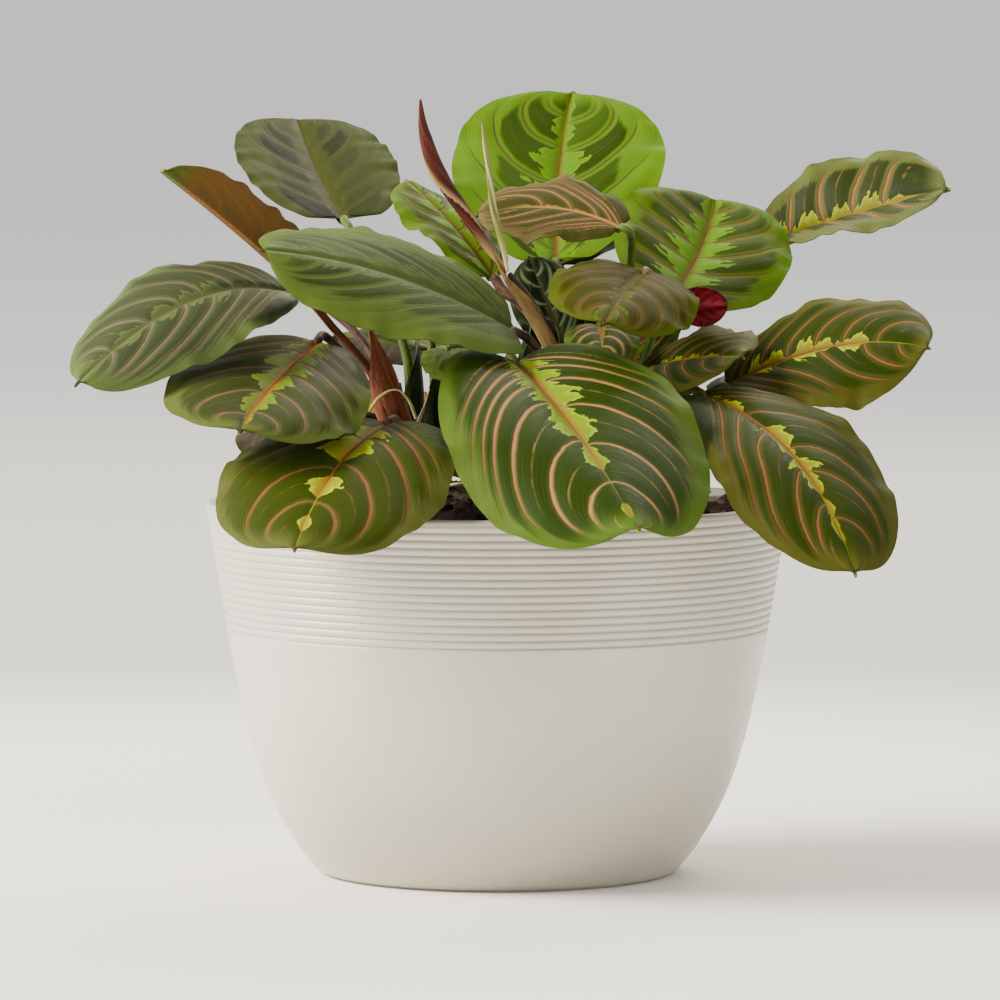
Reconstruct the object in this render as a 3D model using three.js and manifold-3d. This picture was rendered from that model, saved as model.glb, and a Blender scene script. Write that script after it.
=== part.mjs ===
import * as THREE from 'three';
import Module from 'manifold-3d';
import { mergeVertices } from 'three/addons/utils/BufferGeometryUtils.js';

const wasm = await Module();
wasm.setup();

// A potted prayer plant in millimetres, +Z up, standing at z = 0 with the pot's axis on Z.
// Its front faces -Y and its right side +X.

// Pot
const potHeight = 97;
const potRimRadius = 76;
const potBandRadius = 70.4;
const potFootRadius = 45;
const potFootHeight = 0.8;
const potWall = 4;
const potFloor = 5;
const potSegments = 32;
const insideHeights = [18, 30, 45, 66];
const lipRound = 1;
const ribCount = 17;
const ribPitch = 1.96;
const ribDepth = 0.7;
const groovePlace = 0.35;
const ridgePlace = 0.85;
const ribBandBottom = potHeight - ribCount * ribPitch;
// Radius and height up the smooth wall, from the heel to the ribbed band
const potWallCurve = [
  [46.5, potFootHeight],
  [48.4, 2.6],
  [52.7, 8.3],
  [58.2, 18],
  [62.7, 29.4],
  [66.6, 44.8],
  [potBandRadius, ribBandBottom],
];

// Soil
const fitGap = 0.3;
const soilEdge = 92;
const soilMound = 8;
const soilLump = 1.2;
const soilRings = 5;
const holeBottom = 84;
const holeTop = 117;
const holeSegments = 12;

// Leaf blades
const bladeThickness = 0.75;
const bladeRows = [0, 0.04, 0.15, 0.32, 0.5, 0.68, 0.84, 0.95, 1];
const bladeColumns = 6;
const bladeFold = 8;
const bladeCurl = -25;
const bladeDroop = 25;
const bladeWave = 1.2;
const bladeWaves = 2.5;
const bladeBaseWidth = 2.6;
const bladeTipWidth = 0.8;
const basalLobe = 0.06;
const ovalEnd = 0.98;
const ovalLean = 1.12;
const ovalFullness = 0.46;
const tipStart = 0.9;
const tipTaper = 1.5;

// Stems, stalks and rolled leaves
const stemSides = 6;
const stalkRadius = 1.1;
const stalkStep = 10;
const stalkGap = 0.5;
const neckLength = 5;
const stemStraight = 104;
const rolledSides = 6;
const rolledSteps = 9;

const green = '#3f5a24';
const oliveGreen = '#586238';
const brightGreen = '#6f9a20';
const paleGreen = '#5f7a45';
const redUnderside = '#7d1f22';
const stemBrown = '#4a3325';
const stemGreen = '#5d6b2c';

// Each blade runs along its midrib from base through middle to tip. Roll turns it about the
// midrib, right side up when positive, as seen from base to tip. Fold is the slope at the
// midrib and curl its change out to the edge, right side first, in degrees. Droop is how far
// the fold opens from base to tip. Its stalk runs from its shoot's stem through the points given.
const leaves = [
  {
    name: 'leaf_far_left', shoot: 'shoot_left', colour: oliveGreen,
    base: [-53.5, -20, 152], middle: [-78.5, -38, 150.5], tip: [-106.5, -57, 130],
    roll: 31, width: 37.5, fold: [4, 6],
    stalk: [[-23, -5, 106], [-28, -8, 118], [-33, -9, 131], [-42, -13, 142]],
  },
  {
    name: 'leaf_low_left', shoot: 'shoot_left', colour: oliveGreen,
    base: [-46.5, -15, 139], middle: [-57.5, -50, 129], tip: [-64, -80, 120],
    roll: 12, width: 51.5, droop: 10,
    stalk: [[-24, -5, 108], [-30, -5, 120], [-38, -6, 133]],
  },
  {
    name: 'leaf_rim_left', shoot: 'shoot_left', colour: green,
    base: [-28, -30, 119], middle: [-40.5, -71, 110], tip: [-50, -103, 92],
    roll: 4, width: 59.5,
    stalk: [[-23, -5, 105], [-24.5, -13, 115]],
  },
  {
    name: 'leaf_front', shoot: 'shoot_front', colour: green,
    base: [4.5, -20, 134], middle: [20, -68, 119], tip: [35, -105, 97],
    roll: -4, width: 68, fold: [12, 12], droop: 60,
    stalk: [[8, -12, 104], [5, -11, 120]],
  },
  {
    name: 'leaf_rim_right', shoot: 'shoot_right', colour: green,
    base: [52.5, -23, 126], middle: [75, -57, 112], tip: [89, -88, 84.5],
    roll: -8, width: 46,
    stalk: [[33, -8, 106], [41.5, -12.5, 119]],
  },
  {
    name: 'leaf_right', shoot: 'shoot_right', colour: green,
    base: [59, -2, 127], middle: [86.5, -13, 138], tip: [111, -23, 138],
    roll: -38, width: 44, fold: [6, 10],
    stalk: [[34, -8, 110], [43, -5, 117]],
  },
  {
    name: 'leaf_high_right', shoot: 'shoot_back_right', colour: green,
    base: [72, 68, 160.5], middle: [95, 62, 169], tip: [120.5, 53, 177],
    roll: -33, width: 41.5, fold: [36, 36],
    stalk: [[38, 18, 110], [48, 34, 130], [62, 55, 149]],
  },
  {
    name: 'leaf_bright_right', shoot: 'shoot_bright', colour: brightGreen,
    base: [46, 20, 149.5], middle: [54, 42, 161.5], tip: [58, 62, 174],
    roll: -20, width: 49, fold: [12, 14], droop: -20,
    stalk: [[28, 14, 112], [37, 16, 130]],
  },
  {
    name: 'leaf_bright_top', shoot: 'shoot_back', colour: brightGreen,
    base: [15.5, 42, 158], middle: [16.5, 70, 181], tip: [20.5, 91, 202.5],
    roll: 0, width: 58, fold: [10, 10], curl: [-8, -8], droop: 0,
    stalk: [[7, 21, 110], [9.5, 28, 133]],
  },
  {
    name: 'leaf_high_left', shoot: 'shoot_left', colour: oliveGreen,
    base: [-40.5, 24, 169.5], middle: [-48.5, 51, 182.5], tip: [-54, 79, 195],
    roll: 0, width: 43, fold: [10, 10], curl: [-8, -8], droop: 0,
    stalk: [[-23, -4, 110], [-24, 8, 135], [-33, 16, 155]],
  },
  {
    name: 'leaf_folded_left', shoot: 'shoot_left', colour: oliveGreen,
    base: [-47, 13, 149], middle: [-65, -1, 166], tip: [-86, -16, 183.5],
    roll: 0, width: 21, fold: [30, 58], curl: [-8, -8], droop: 0,
    stalk: [[-24, -4, 112], [-30, 4, 130], [-37, 11, 140]],
  },
  {
    name: 'leaf_pale_left', shoot: 'shoot_main', colour: paleGreen,
    base: [4, -16, 142], middle: [-27, -32, 157], tip: [-60, -47, 164],
    roll: 32, width: 52,
    stalk: [[21, -4, 110], [16, -8, 128]],
  },
  {
    name: 'leaf_bright_left', shoot: 'shoot_main', colour: brightGreen,
    base: [-1, 5, 155], middle: [-12, 15, 169], tip: [-24, 28, 180],
    roll: 0, width: 27,
    stalk: [[10, -1, 145], [5, 1, 149]],
  },
  {
    name: 'leaf_folded_top', shoot: 'shoot_bright', colour: oliveGreen,
    base: [32, 4, 168], middle: [14, 12, 173], tip: [-6, 18, 171],
    roll: 8, width: 28, fold: [34, -15], droop: 0, neck: 2.5,
    stalk: [[28, 14, 114], [30, 18, 135], [34, 15, 152], [35, 9, 162]],
  },
  {
    name: 'leaf_middle', shoot: 'shoot_bright', colour: oliveGreen,
    base: [38, 5, 156], middle: [33, -20, 153], tip: [27, -42, 145],
    roll: 15, width: 39,
    stalk: [[27, 12, 112], [31, 5, 131], [40, 6, 144], [42, 12, 152]],
  },
  {
    name: 'leaf_striped', shoot: 'shoot_back', colour: green,
    base: [18, 14, 136], middle: [13, 14, 148], tip: [8, 18, 160],
    roll: 65, width: 19, wave: 0,
    stalk: [[6, 19, 112], [13, 17, 124]],
  },
  {
    name: 'leaf_small_red', shoot: 'shoot_bright', colour: redUnderside,
    base: [46, 3, 146], middle: [53, 0, 147.5], tip: [60, -3, 148],
    roll: 80, width: 11, fold: [4, 4], wave: 0,
    stalk: [[36, 5, 140], [40, 4.5, 143]],
  },
  {
    name: 'leaf_inner_right', shoot: 'shoot_right', colour: green,
    base: [36, 0, 130], middle: [49, -13, 134.5], tip: [63, -25, 136],
    roll: 0, width: 39, fold: [-8, 38],
    stalk: [[32, -7, 110], [31, 0, 120]],
  },
  {
    name: 'leaf_inner_left', shoot: 'shoot_front', colour: paleGreen,
    base: [-13, 2, 136], middle: [-11, -8, 134], tip: [-9, -17, 129],
    roll: 0, width: 18, wave: 0,
    stalk: [[7, -12, 106], [-4, -4, 120]],
  },
  {
    name: 'leaf_inner_middle', shoot: 'shoot_bright', colour: green,
    base: [27, 8, 142], middle: [27, -5, 140], tip: [27, -17, 134],
    roll: 0, width: 20, wave: 0,
    stalk: [[27, 13, 112], [26, 14, 130]],
  },
  {
    name: 'leaf_inner_back', shoot: 'shoot_back_right', colour: green,
    base: [36, 27, 129], middle: [34.5, 30, 143], tip: [33, 33, 156],
    roll: 0, width: 33, fold: [2, 2], curl: [-8, -8], droop: 0, wave: 0.6,
    stalk: [[38, 18, 104], [39, 22, 116]],
  },
  {
    name: 'leaf_side_left', shoot: 'shoot_left', colour: green,
    base: [-39, 3, 117], middle: [-52, 8, 114.5], tip: [-64, 12, 104],
    roll: 0, width: 31,
    stalk: [[-23, -5, 104], [-29, -1, 111]],
  },
  {
    name: 'leaf_back_top', shoot: 'shoot_back', colour: green,
    base: [16, 58, 156], middle: [19, 83, 168], tip: [22, 105, 173],
    roll: 0, width: 42,
    stalk: [[6, 21, 114], [8, 36, 134]],
  },
  {
    name: 'leaf_back_middle', shoot: 'shoot_back', colour: green,
    base: [3, 46, 122], middle: [2, 76, 117], tip: [0, 99, 95],
    roll: 0, width: 54,
    stalk: [[6, 21, 106], [5, 32, 117]],
  },
  {
    name: 'leaf_back_low_right', shoot: 'shoot_back_right', colour: green,
    base: [48, 34, 119], middle: [62, 58, 119], tip: [76, 82, 106],
    roll: 0, width: 48,
    stalk: [[38, 18, 104], [42, 24, 113]],
  },
  {
    name: 'leaf_back_right', shoot: 'shoot_back_right', colour: oliveGreen,
    base: [60, 20, 124], middle: [78, 35, 127], tip: [94, 48, 120],
    roll: 0, width: 41,
    stalk: [[38, 18, 106], [48, 17, 117]],
  },
  {
    name: 'leaf_back_high_right', shoot: 'shoot_bright', colour: green,
    base: [38, 46, 144], middle: [43, 69, 152], tip: [48, 92, 150],
    roll: 0, width: 37,
    stalk: [[28, 15, 108], [32, 31, 128]],
  },
  {
    name: 'leaf_back_low_left', shoot: 'shoot_back_left', colour: green,
    base: [-31, 33, 117], middle: [-47, 59, 118], tip: [-62, 82, 105],
    roll: 0, width: 47,
    stalk: [[-16, 20, 104], [-22, 26, 113]],
  },
  {
    name: 'leaf_back_side_left', shoot: 'shoot_back_left', colour: oliveGreen,
    base: [-44, 12, 122], middle: [-63, 27, 126], tip: [-80, 42, 117],
    roll: 0, width: 38,
    stalk: [[-17, 19, 106], [-30, 12, 117]],
  },
  {
    name: 'leaf_back_high_left', shoot: 'shoot_back_left', colour: green,
    base: [-22, 30, 149], middle: [-37, 49, 158], tip: [-51, 67, 158],
    roll: 0, width: 36,
    stalk: [[-16, 18, 110], [-17, 20, 132]],
  },
  {
    name: 'leaf_back_left', shoot: 'shoot_back_left', colour: green,
    base: [-16, 40, 134], middle: [-24, 66, 138], tip: [-32, 92, 128],
    roll: 0, width: 46,
    stalk: [[-15, 19, 108], [-15, 29, 124]],
  },
];

// Each shoot's stem stands straight in the soil at its foot and then leans along its way
const shoots = [
  { name: 'shoot_left', foot: [-23, -5], way: [[-24, -4, 114]], radius: 2.3, colour: stemBrown },
  {
    name: 'shoot_main', foot: [21, -4], radius: 1.7, colour: stemBrown,
    way: [[21, -3, 115], [16, -1, 135], [7, 0, 150], [3, 0, 156]],
  },
  { name: 'shoot_front', foot: [8, -12], way: [[7, -12, 110]], radius: 2, colour: stemGreen },
  { name: 'shoot_right', foot: [33, -8], way: [[33, -7, 113]], radius: 2.1, colour: stemGreen },
  { name: 'shoot_bright', foot: [27, 14], way: [[28, 14, 117]], radius: 2.2, colour: stemGreen },
  { name: 'shoot_back', foot: [6, 20], way: [[6, 21, 116]], radius: 2.1, colour: stemGreen },
  { name: 'shoot_back_right', foot: [38, 18], way: [[38, 18, 112]], radius: 2, colour: stemGreen },
  { name: 'shoot_back_left', foot: [-16, 19], way: [[-16, 19, 113]], radius: 2, colour: stemGreen },
];

// New leaves still rolled into spikes above the main stem: way and radius from foot to tip
const rolledLeaves = [
  {
    name: 'rolled_leaf_red', colour: '#7b4a35',
    way: [[2.6, 0.85, 156.5], [-2.5, 2.8, 162.5], [-9, 5, 172], [-15, 5, 181], [-19, 4, 193], [-20, 3, 201]],
    radii: [0.75, 1.4, 1.9, 2.4, 1.8, 0.4],
  },
  {
    name: 'rolled_leaf_pale', colour: '#b9b07a',
    way: [[2.7, -0.95, 156.5], [1.2, -1.9, 164], [-1, -1, 172], [-2, 0, 180], [-4, 1, 195]],
    radii: [0.5, 0.9, 1, 0.8, 0.4],
  },
];

function degrees(angle) {
  return THREE.MathUtils.degToRad(angle);
}

function vector(point) {
  return new THREE.Vector3(...point);
}

function midribCurve(leaf) {
  const base = vector(leaf.base);
  const tip = vector(leaf.tip);
  const control = vector(leaf.middle).multiplyScalar(2);
  control.addScaledVector(base, -0.5).addScaledVector(tip, -0.5);
  return new THREE.QuadraticBezierCurve3(base, control, tip);
}

// Half-width over the largest half-width: a blunt oval with a short point at the tip
function bladeOutline(s) {
  const along = Math.min(s / ovalEnd, 1) ** ovalLean;
  const oval = (4 * along * (1 - along)) ** ovalFullness;
  return s > tipStart ? Math.max(oval, tipTaper * (1 - s)) : oval;
}

function bladeFrame(leaf, curve, s) {
  const along = curve.getTangent(s);
  const line = vector(leaf.tip).sub(vector(leaf.base)).normalize();
  const level = new THREE.Vector3().crossVectors(line, new THREE.Vector3(0, 0, 1)).normalize();
  const up = new THREE.Vector3().crossVectors(level, line);
  const roll = degrees(leaf.roll);
  const side = level.multiplyScalar(Math.cos(roll)).addScaledVector(up, Math.sin(roll));
  side.addScaledVector(along, -side.dot(along)).normalize();
  return { along, side, up: new THREE.Vector3().crossVectors(side, along) };
}

// A point of the blade's middle surface: s from base to tip, v from -1 at the left edge to 1
function bladePoint(leaf, curve, s, v) {
  const { along, side, up } = bladeFrame(leaf, curve, s);
  const hand = v > 0 ? 0 : 1;
  const out = Math.abs(v);
  const droop = (leaf.droop ?? bladeDroop) * (0.4 - s);
  const fold = degrees((leaf.fold ?? [bladeFold, bladeFold])[hand] + droop);
  const curl = degrees((leaf.curl ?? [bladeCurl, bladeCurl])[hand]);
  const endWidth = THREE.MathUtils.lerp(bladeBaseWidth, bladeTipWidth, s);
  const half = Math.max(leaf.width * bladeOutline(s), endWidth) / 2;
  const across = (half * (Math.sin(fold + curl * out) - Math.sin(fold))) / curl;
  const rise = (half * (Math.cos(fold) - Math.cos(fold + curl * out))) / curl;
  const ripple = Math.sin(2 * Math.PI * bladeWaves * s + 2 * hand) * Math.sin(Math.PI * s);
  const wave = (leaf.wave ?? bladeWave) * out ** 3 * ripple;
  const lobe = leaf.width * basalLobe * out ** 2 * (1 - s) ** 4 * Math.min(s * 30, 1);
  return curve.getPoint(s)
    .addScaledVector(side, Math.sign(v) * across)
    .addScaledVector(up, rise + wave)
    .addScaledVector(along, -lobe);
}

function bladeNormal(leaf, curve, s, v) {
  const step = 0.004;
  const [s0, s1] = [Math.max(s - step, 0), Math.min(s + step, 1)];
  const [v0, v1] = [Math.max(v - step, -1), Math.min(v + step, 1)];
  const lengthwise = bladePoint(leaf, curve, s1, v).sub(bladePoint(leaf, curve, s0, v));
  const crosswise = bladePoint(leaf, curve, s, v1).sub(bladePoint(leaf, curve, s, v0));
  return crosswise.cross(lengthwise).normalize();
}

// Two faces of the same triangles, a blade's thickness apart, joined round the rim
function bladeGeometry(leaf) {
  const curve = midribCurve(leaf);
  const rows = bladeRows.length;
  const columns = bladeColumns + 1;
  const top = [];
  const bottom = [];
  for (const s of bladeRows) {
    for (let j = 0; j < columns; j += 1) {
      const v = (2 * j) / bladeColumns - 1;
      const point = bladePoint(leaf, curve, s, v);
      const normal = bladeNormal(leaf, curve, s, v);
      top.push(point.clone().addScaledVector(normal, bladeThickness / 2));
      bottom.push(point.clone().addScaledVector(normal, -bladeThickness / 2));
    }
  }
  const under = top.length;
  const index = [];
  const at = (i, j) => i * columns + j;
  for (let i = 0; i < rows - 1; i += 1) {
    for (let j = 0; j < bladeColumns; j += 1) {
      const [a, b, c, d] = [at(i, j), at(i, j + 1), at(i + 1, j + 1), at(i + 1, j)];
      const halves = j < bladeColumns / 2 ? [[a, b, c], [a, c, d]] : [[a, b, d], [b, c, d]];
      for (const [p, q, r] of halves) {
        index.push(p, q, r, p + under, r + under, q + under);
      }
    }
  }
  const rim = [];
  for (let j = 0; j < bladeColumns; j += 1) rim.push(at(0, j));
  for (let i = 0; i < rows - 1; i += 1) rim.push(at(i, bladeColumns));
  for (let j = bladeColumns; j > 0; j -= 1) rim.push(at(rows - 1, j));
  for (let i = rows - 1; i > 0; i -= 1) rim.push(at(i, 0));
  rim.forEach((p, k) => {
    const q = rim[(k + 1) % rim.length];
    index.push(p, p + under, q + under, p, q + under, q);
  });
  const geometry = new THREE.BufferGeometry().setFromPoints([...top, ...bottom]);
  geometry.setIndex(index);
  return geometry;
}

function toSolid(geometry) {
  const bare = geometry.clone();
  bare.deleteAttribute('normal');
  bare.deleteAttribute('uv');
  const merged = mergeVertices(bare, 1e-4);
  return new wasm.Manifold(new wasm.Mesh({
    numProp: 3,
    vertProperties: new Float32Array(merged.attributes.position.array),
    triVerts: new Uint32Array(merged.index.array),
  }));
}

function fromSolid(solid) {
  const mesh = solid.getMesh();
  const geometry = new THREE.BufferGeometry();
  geometry.setAttribute('position', new THREE.BufferAttribute(mesh.vertProperties, 3));
  geometry.setIndex(new THREE.BufferAttribute(mesh.triVerts, 1));
  return geometry;
}

function tubeGeometry(points, radius) {
  const section = new THREE.Shape(Array.from({ length: stemSides }, (_, i) => {
    const angle = (2 * Math.PI * i) / stemSides;
    return new THREE.Vector2(radius * Math.cos(angle), radius * Math.sin(angle));
  }));
  const path = new THREE.CatmullRomCurve3(points, false, 'centripetal');
  const steps = Math.max(3, Math.round(path.getLength() / stalkStep));
  return new THREE.ExtrudeGeometry(section, { steps, extrudePath: path, bevelEnabled: false });
}

// The stalk ends in a short straight neck in line with its blade
function stalkGeometry(leaf) {
  const along = midribCurve(leaf).getTangent(0);
  const end = vector(leaf.base).addScaledVector(along, -stalkGap);
  const neck = vector(leaf.base).addScaledVector(along, -(leaf.neck ?? neckLength));
  return tubeGeometry([...leaf.stalk.map(vector), neck, end], stalkRadius);
}

function shootGeometry(shoot) {
  const [x, y] = shoot.foot;
  const foot = [x, y, holeBottom + fitGap];
  const stem = [foot, [x, y, soilEdge], [x, y, stemStraight], ...shoot.way].map(vector);
  let solid = toSolid(tubeGeometry(stem, shoot.radius));
  for (const leaf of leaves.filter((each) => each.shoot === shoot.name)) {
    solid = solid.add(toSolid(stalkGeometry(leaf)));
  }
  return fromSolid(solid);
}

// A spike that thins to both ends, its rings set square to its way
function rolledGeometry(spike) {
  const path = new THREE.CatmullRomCurve3(spike.way.map(vector), false, 'centripetal');
  const frames = path.computeFrenetFrames(rolledSteps, false);
  const points = [path.getPointAt(0)];
  for (let i = 0; i <= rolledSteps; i += 1) {
    const place = (i / rolledSteps) * (spike.radii.length - 1);
    const from = Math.min(Math.floor(place), spike.radii.length - 2);
    const radius = THREE.MathUtils.lerp(spike.radii[from], spike.radii[from + 1], place - from);
    for (let j = 0; j < rolledSides; j += 1) {
      const angle = (2 * Math.PI * j) / rolledSides;
      points.push(path.getPointAt(i / rolledSteps)
        .addScaledVector(frames.normals[i], radius * Math.cos(angle))
        .addScaledVector(frames.binormals[i], radius * Math.sin(angle)));
    }
  }
  const tip = points.length;
  points.push(path.getPointAt(1));
  const index = [];
  const at = (i, j) => 1 + i * rolledSides + (j % rolledSides);
  for (let j = 0; j < rolledSides; j += 1) {
    index.push(0, at(0, j + 1), at(0, j), tip, at(rolledSteps, j), at(rolledSteps, j + 1));
    for (let i = 0; i < rolledSteps; i += 1) {
      index.push(at(i, j), at(i, j + 1), at(i + 1, j + 1), at(i, j), at(i + 1, j + 1), at(i + 1, j));
    }
  }
  return new THREE.BufferGeometry().setFromPoints(points).setIndex(index);
}

const wallSpline = new THREE.SplineCurve(potWallCurve.map(([r, z]) => new THREE.Vector2(r, z)));

// Outer radius of the wall at a height, without the ribs
function potRadius(z) {
  if (z >= ribBandBottom) {
    const up = (z - ribBandBottom) / (potHeight - ribBandBottom);
    return THREE.MathUtils.lerp(potBandRadius, potRimRadius, up);
  }
  const samples = wallSpline.getPoints(120);
  const next = samples.findIndex((point) => point.y >= z);
  return samples[Math.max(next, 0)].x;
}

function potGeometry() {
  const outside = [[0, 0], [potFootRadius, 0], [potFootRadius, potFootHeight]];
  for (const point of wallSpline.getPoints(9)) outside.push([point.x, point.y]);
  for (let k = 0; k < ribCount; k += 1) {
    const groove = ribBandBottom + (k + groovePlace) * ribPitch;
    const ridge = ribBandBottom + (k + ridgePlace) * ribPitch;
    outside.push([potRadius(groove) - ribDepth, groove]);
    if (k < ribCount - 1) outside.push([potRadius(ridge), ridge]);
  }
  outside.push([potRimRadius, potHeight - lipRound]);
  outside.push([potRimRadius - lipRound, potHeight]);
  outside.push([potRimRadius - potWall + lipRound, potHeight]);
  const down = [potHeight - lipRound, ...[...insideHeights].reverse(), potFloor];
  const inside = down.map((z) => [potRadius(z) - potWall, z]);
  const profile = [...outside, ...inside, [0, potFloor]];
  return new THREE.LatheGeometry(profile.map(([r, z]) => new THREE.Vector2(r, z)), potSegments)
    .rotateX(Math.PI / 2);
}

// Low lumps of soil, as a height over the smooth mound
function soilLumps(x, y) {
  const broad = Math.sin(0.13 * x + 1) * Math.sin(0.11 * y + 2);
  const fine = Math.sin(0.37 * x + 0.21 * y) * Math.sin(0.33 * y - 0.17 * x + 1);
  return soilLump * (broad + fine);
}

function soilGeometry() {
  const wall = [potFloor + fitGap, ...insideHeights, soilEdge];
  const profile = [[0, potFloor + fitGap], ...wall.map((z) => [potRadius(z) - potWall - fitGap, z])];
  const edge = profile[profile.length - 1][0];
  for (let i = 1; i <= soilRings; i += 1) {
    const out = 1 - i / soilRings;
    profile.push([edge * out, soilEdge + soilMound * (1 - out ** 2)]);
  }
  const geometry = new THREE.LatheGeometry(
    profile.map(([r, z]) => new THREE.Vector2(r, z)),
    potSegments,
  ).rotateX(Math.PI / 2);
  const place = geometry.attributes.position;
  for (let i = 0; i < place.count; i += 1) {
    const [x, y, z] = [place.getX(i), place.getY(i), place.getZ(i)];
    if (z > soilEdge + 0.1) place.setZ(i, z + soilLumps(x, y));
  }
  let solid = toSolid(geometry);
  for (const shoot of shoots) {
    const depth = holeTop - holeBottom;
    const radius = (shoot.radius + fitGap) / Math.cos(Math.PI / holeSegments);
    const hole = new THREE.CylinderGeometry(radius, radius, depth, holeSegments).rotateX(Math.PI / 2);
    hole.translate(shoot.foot[0], shoot.foot[1], holeBottom + depth / 2);
    solid = solid.subtract(toSolid(hole));
  }
  return fromSolid(solid);
}

function addPiece(group, name, geometry, colour, roughness) {
  const material = new THREE.MeshStandardMaterial({ color: colour, roughness, metalness: 0 });
  const mesh = new THREE.Mesh(geometry, material);
  mesh.name = name;
  group.add(mesh);
  return mesh;
}

const pottedPlant = new THREE.Group();
addPiece(pottedPlant, 'pot', potGeometry(), '#e2ddd5', 0.35);
addPiece(pottedPlant, 'soil', soilGeometry(), '#2a1a14', 0.95);

const foliage = new THREE.Group();
for (const shoot of shoots) {
  addPiece(foliage, shoot.name, shootGeometry(shoot), shoot.colour, 0.55);
}
for (const leaf of leaves) {
  const blade = bladeGeometry(leaf).translate(...vector(leaf.base).negate());
  addPiece(foliage, leaf.name, blade, leaf.colour, 0.55).position.set(...leaf.base);
}
for (const spike of rolledLeaves) {
  addPiece(foliage, spike.name, rolledGeometry(spike), spike.colour, 0.5);
}
pottedPlant.add(foliage);

export default pottedPlant;
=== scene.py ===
import math

import bmesh
import bpy
import numpy as np
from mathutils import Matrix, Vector


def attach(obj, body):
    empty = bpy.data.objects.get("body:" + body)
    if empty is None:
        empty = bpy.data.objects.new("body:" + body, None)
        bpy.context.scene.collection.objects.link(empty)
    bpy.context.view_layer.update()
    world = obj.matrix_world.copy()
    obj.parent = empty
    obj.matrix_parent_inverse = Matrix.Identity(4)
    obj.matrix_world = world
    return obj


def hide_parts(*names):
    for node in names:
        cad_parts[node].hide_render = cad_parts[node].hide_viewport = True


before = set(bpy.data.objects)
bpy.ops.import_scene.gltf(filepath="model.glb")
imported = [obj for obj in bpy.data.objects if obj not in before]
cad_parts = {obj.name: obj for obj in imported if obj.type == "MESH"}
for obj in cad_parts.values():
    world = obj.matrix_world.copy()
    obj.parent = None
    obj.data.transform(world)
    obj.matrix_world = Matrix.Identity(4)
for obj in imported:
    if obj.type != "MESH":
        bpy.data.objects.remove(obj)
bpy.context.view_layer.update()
mm = 0.001
fullTurn = 2 * math.pi
print("frame loaded with", len(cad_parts), "solids")


# Small helpers for meshes and curves, all in millimetres until the mesh is made

def smoothStep(value, low, high):
    t = np.clip((value - low) / (high - low), 0, 1)
    return t * t * (3 - 2 * t)


def unit(rows):
    return rows / np.maximum(np.linalg.norm(rows, axis=-1, keepdims=True), 1e-9)


def softNoise(x, y, cell, seed):
    # smooth random heights on a grid of that cell size, from -1 to 1
    size = 64
    table = np.random.default_rng(seed).uniform(-1, 1, (size, size))
    u, w = x / cell, y / cell
    i, j = np.floor(u).astype(int), np.floor(w).astype(int)
    a, b = smoothStep(u - i, 0, 1), smoothStep(w - j, 0, 1)
    pick = lambda p, q: table[p % size, q % size]
    near = pick(i, j) * (1 - a) + pick(i + 1, j) * a
    far = pick(i, j + 1) * (1 - a) + pick(i + 1, j + 1) * a
    return near * (1 - b) + far * b


def makePiece(name, points, faces, materials, fields=None, faceMaterials=None, sharp=60):
    mesh = bpy.data.meshes.new(name)
    mesh.from_pydata((np.asarray(points) * mm).tolist(), [], [list(map(int, face)) for face in faces])
    for material in materials:
        mesh.materials.append(material)
    if faceMaterials is not None:
        mesh.polygons.foreach_set("material_index", np.asarray(faceMaterials, dtype=np.int32))
    for fieldName, values in (fields or {}).items():
        field = mesh.attributes.new(fieldName, "FLOAT", "POINT")
        field.data.foreach_set("value", np.asarray(values, dtype=np.float32).ravel())
    mesh.polygons.foreach_set("use_smooth", [True] * len(mesh.polygons))
    mesh.set_sharp_from_angle(angle=math.radians(sharp))
    mesh.update()
    piece = bpy.data.objects.new(name, mesh)
    bpy.context.scene.collection.objects.link(piece)
    return piece


def joinParts(parts):
    # parts are (points, faces, material number, {field: values}); returns them as one set of lists
    points, faces, numbers, fields = [], [], [], {}
    start = 0
    for partPoints, partFaces, number, partFields in parts:
        points.append(np.asarray(partPoints))
        faces += [[int(corner) + start for corner in face] for face in partFaces]
        numbers += [number] * len(partFaces)
        for key, values in partFields.items():
            fields.setdefault(key, []).append(np.broadcast_to(values, len(partPoints)))
        start += len(partPoints)
    return np.concatenate(points), faces, numbers, {key: np.concatenate(v) for key, v in fields.items()}


def ringFaces(rings, sides):
    # faces between rings of points that follow each other
    faces = []
    for k in range(rings - 1):
        low, high = k * sides, (k + 1) * sides
        for j in range(sides):
            n = (j + 1) % sides
            faces.append([low + j, low + n, high + n, high + j])
    return faces


def tubeFaces(rings, sides):
    # the same, closed by two more points, one at the foot and one at the tip
    faces = ringFaces(rings, sides)
    foot, tip, last = rings * sides, rings * sides + 1, (rings - 1) * sides
    for j in range(sides):
        n = (j + 1) % sides
        faces.append([foot, n, j])
        faces.append([tip, last + j, last + n])
    return faces


def slabFaces(rows, columns):
    # faces of a thin slab: the upper sheet, the lower sheet whose points come after it, and the rim
    grid = np.arange(rows * columns).reshape(rows, columns)
    a, b, c, d = grid[:-1, :-1].ravel(), grid[:-1, 1:].ravel(), grid[1:, 1:].ravel(), grid[1:, :-1].ravel()
    rim = np.concatenate([grid[0, :-1], grid[:-1, -1], grid[-1, :0:-1], grid[:0:-1, 0]])
    after = np.roll(rim, -1)
    upper = np.stack([a, b, c, d], axis=1)
    lower = np.stack([a, d, c, b], axis=1) + grid.size
    rimFaces = np.stack([rim, rim + grid.size, after + grid.size, after], axis=1)
    return upper, lower, rimFaces


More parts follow.
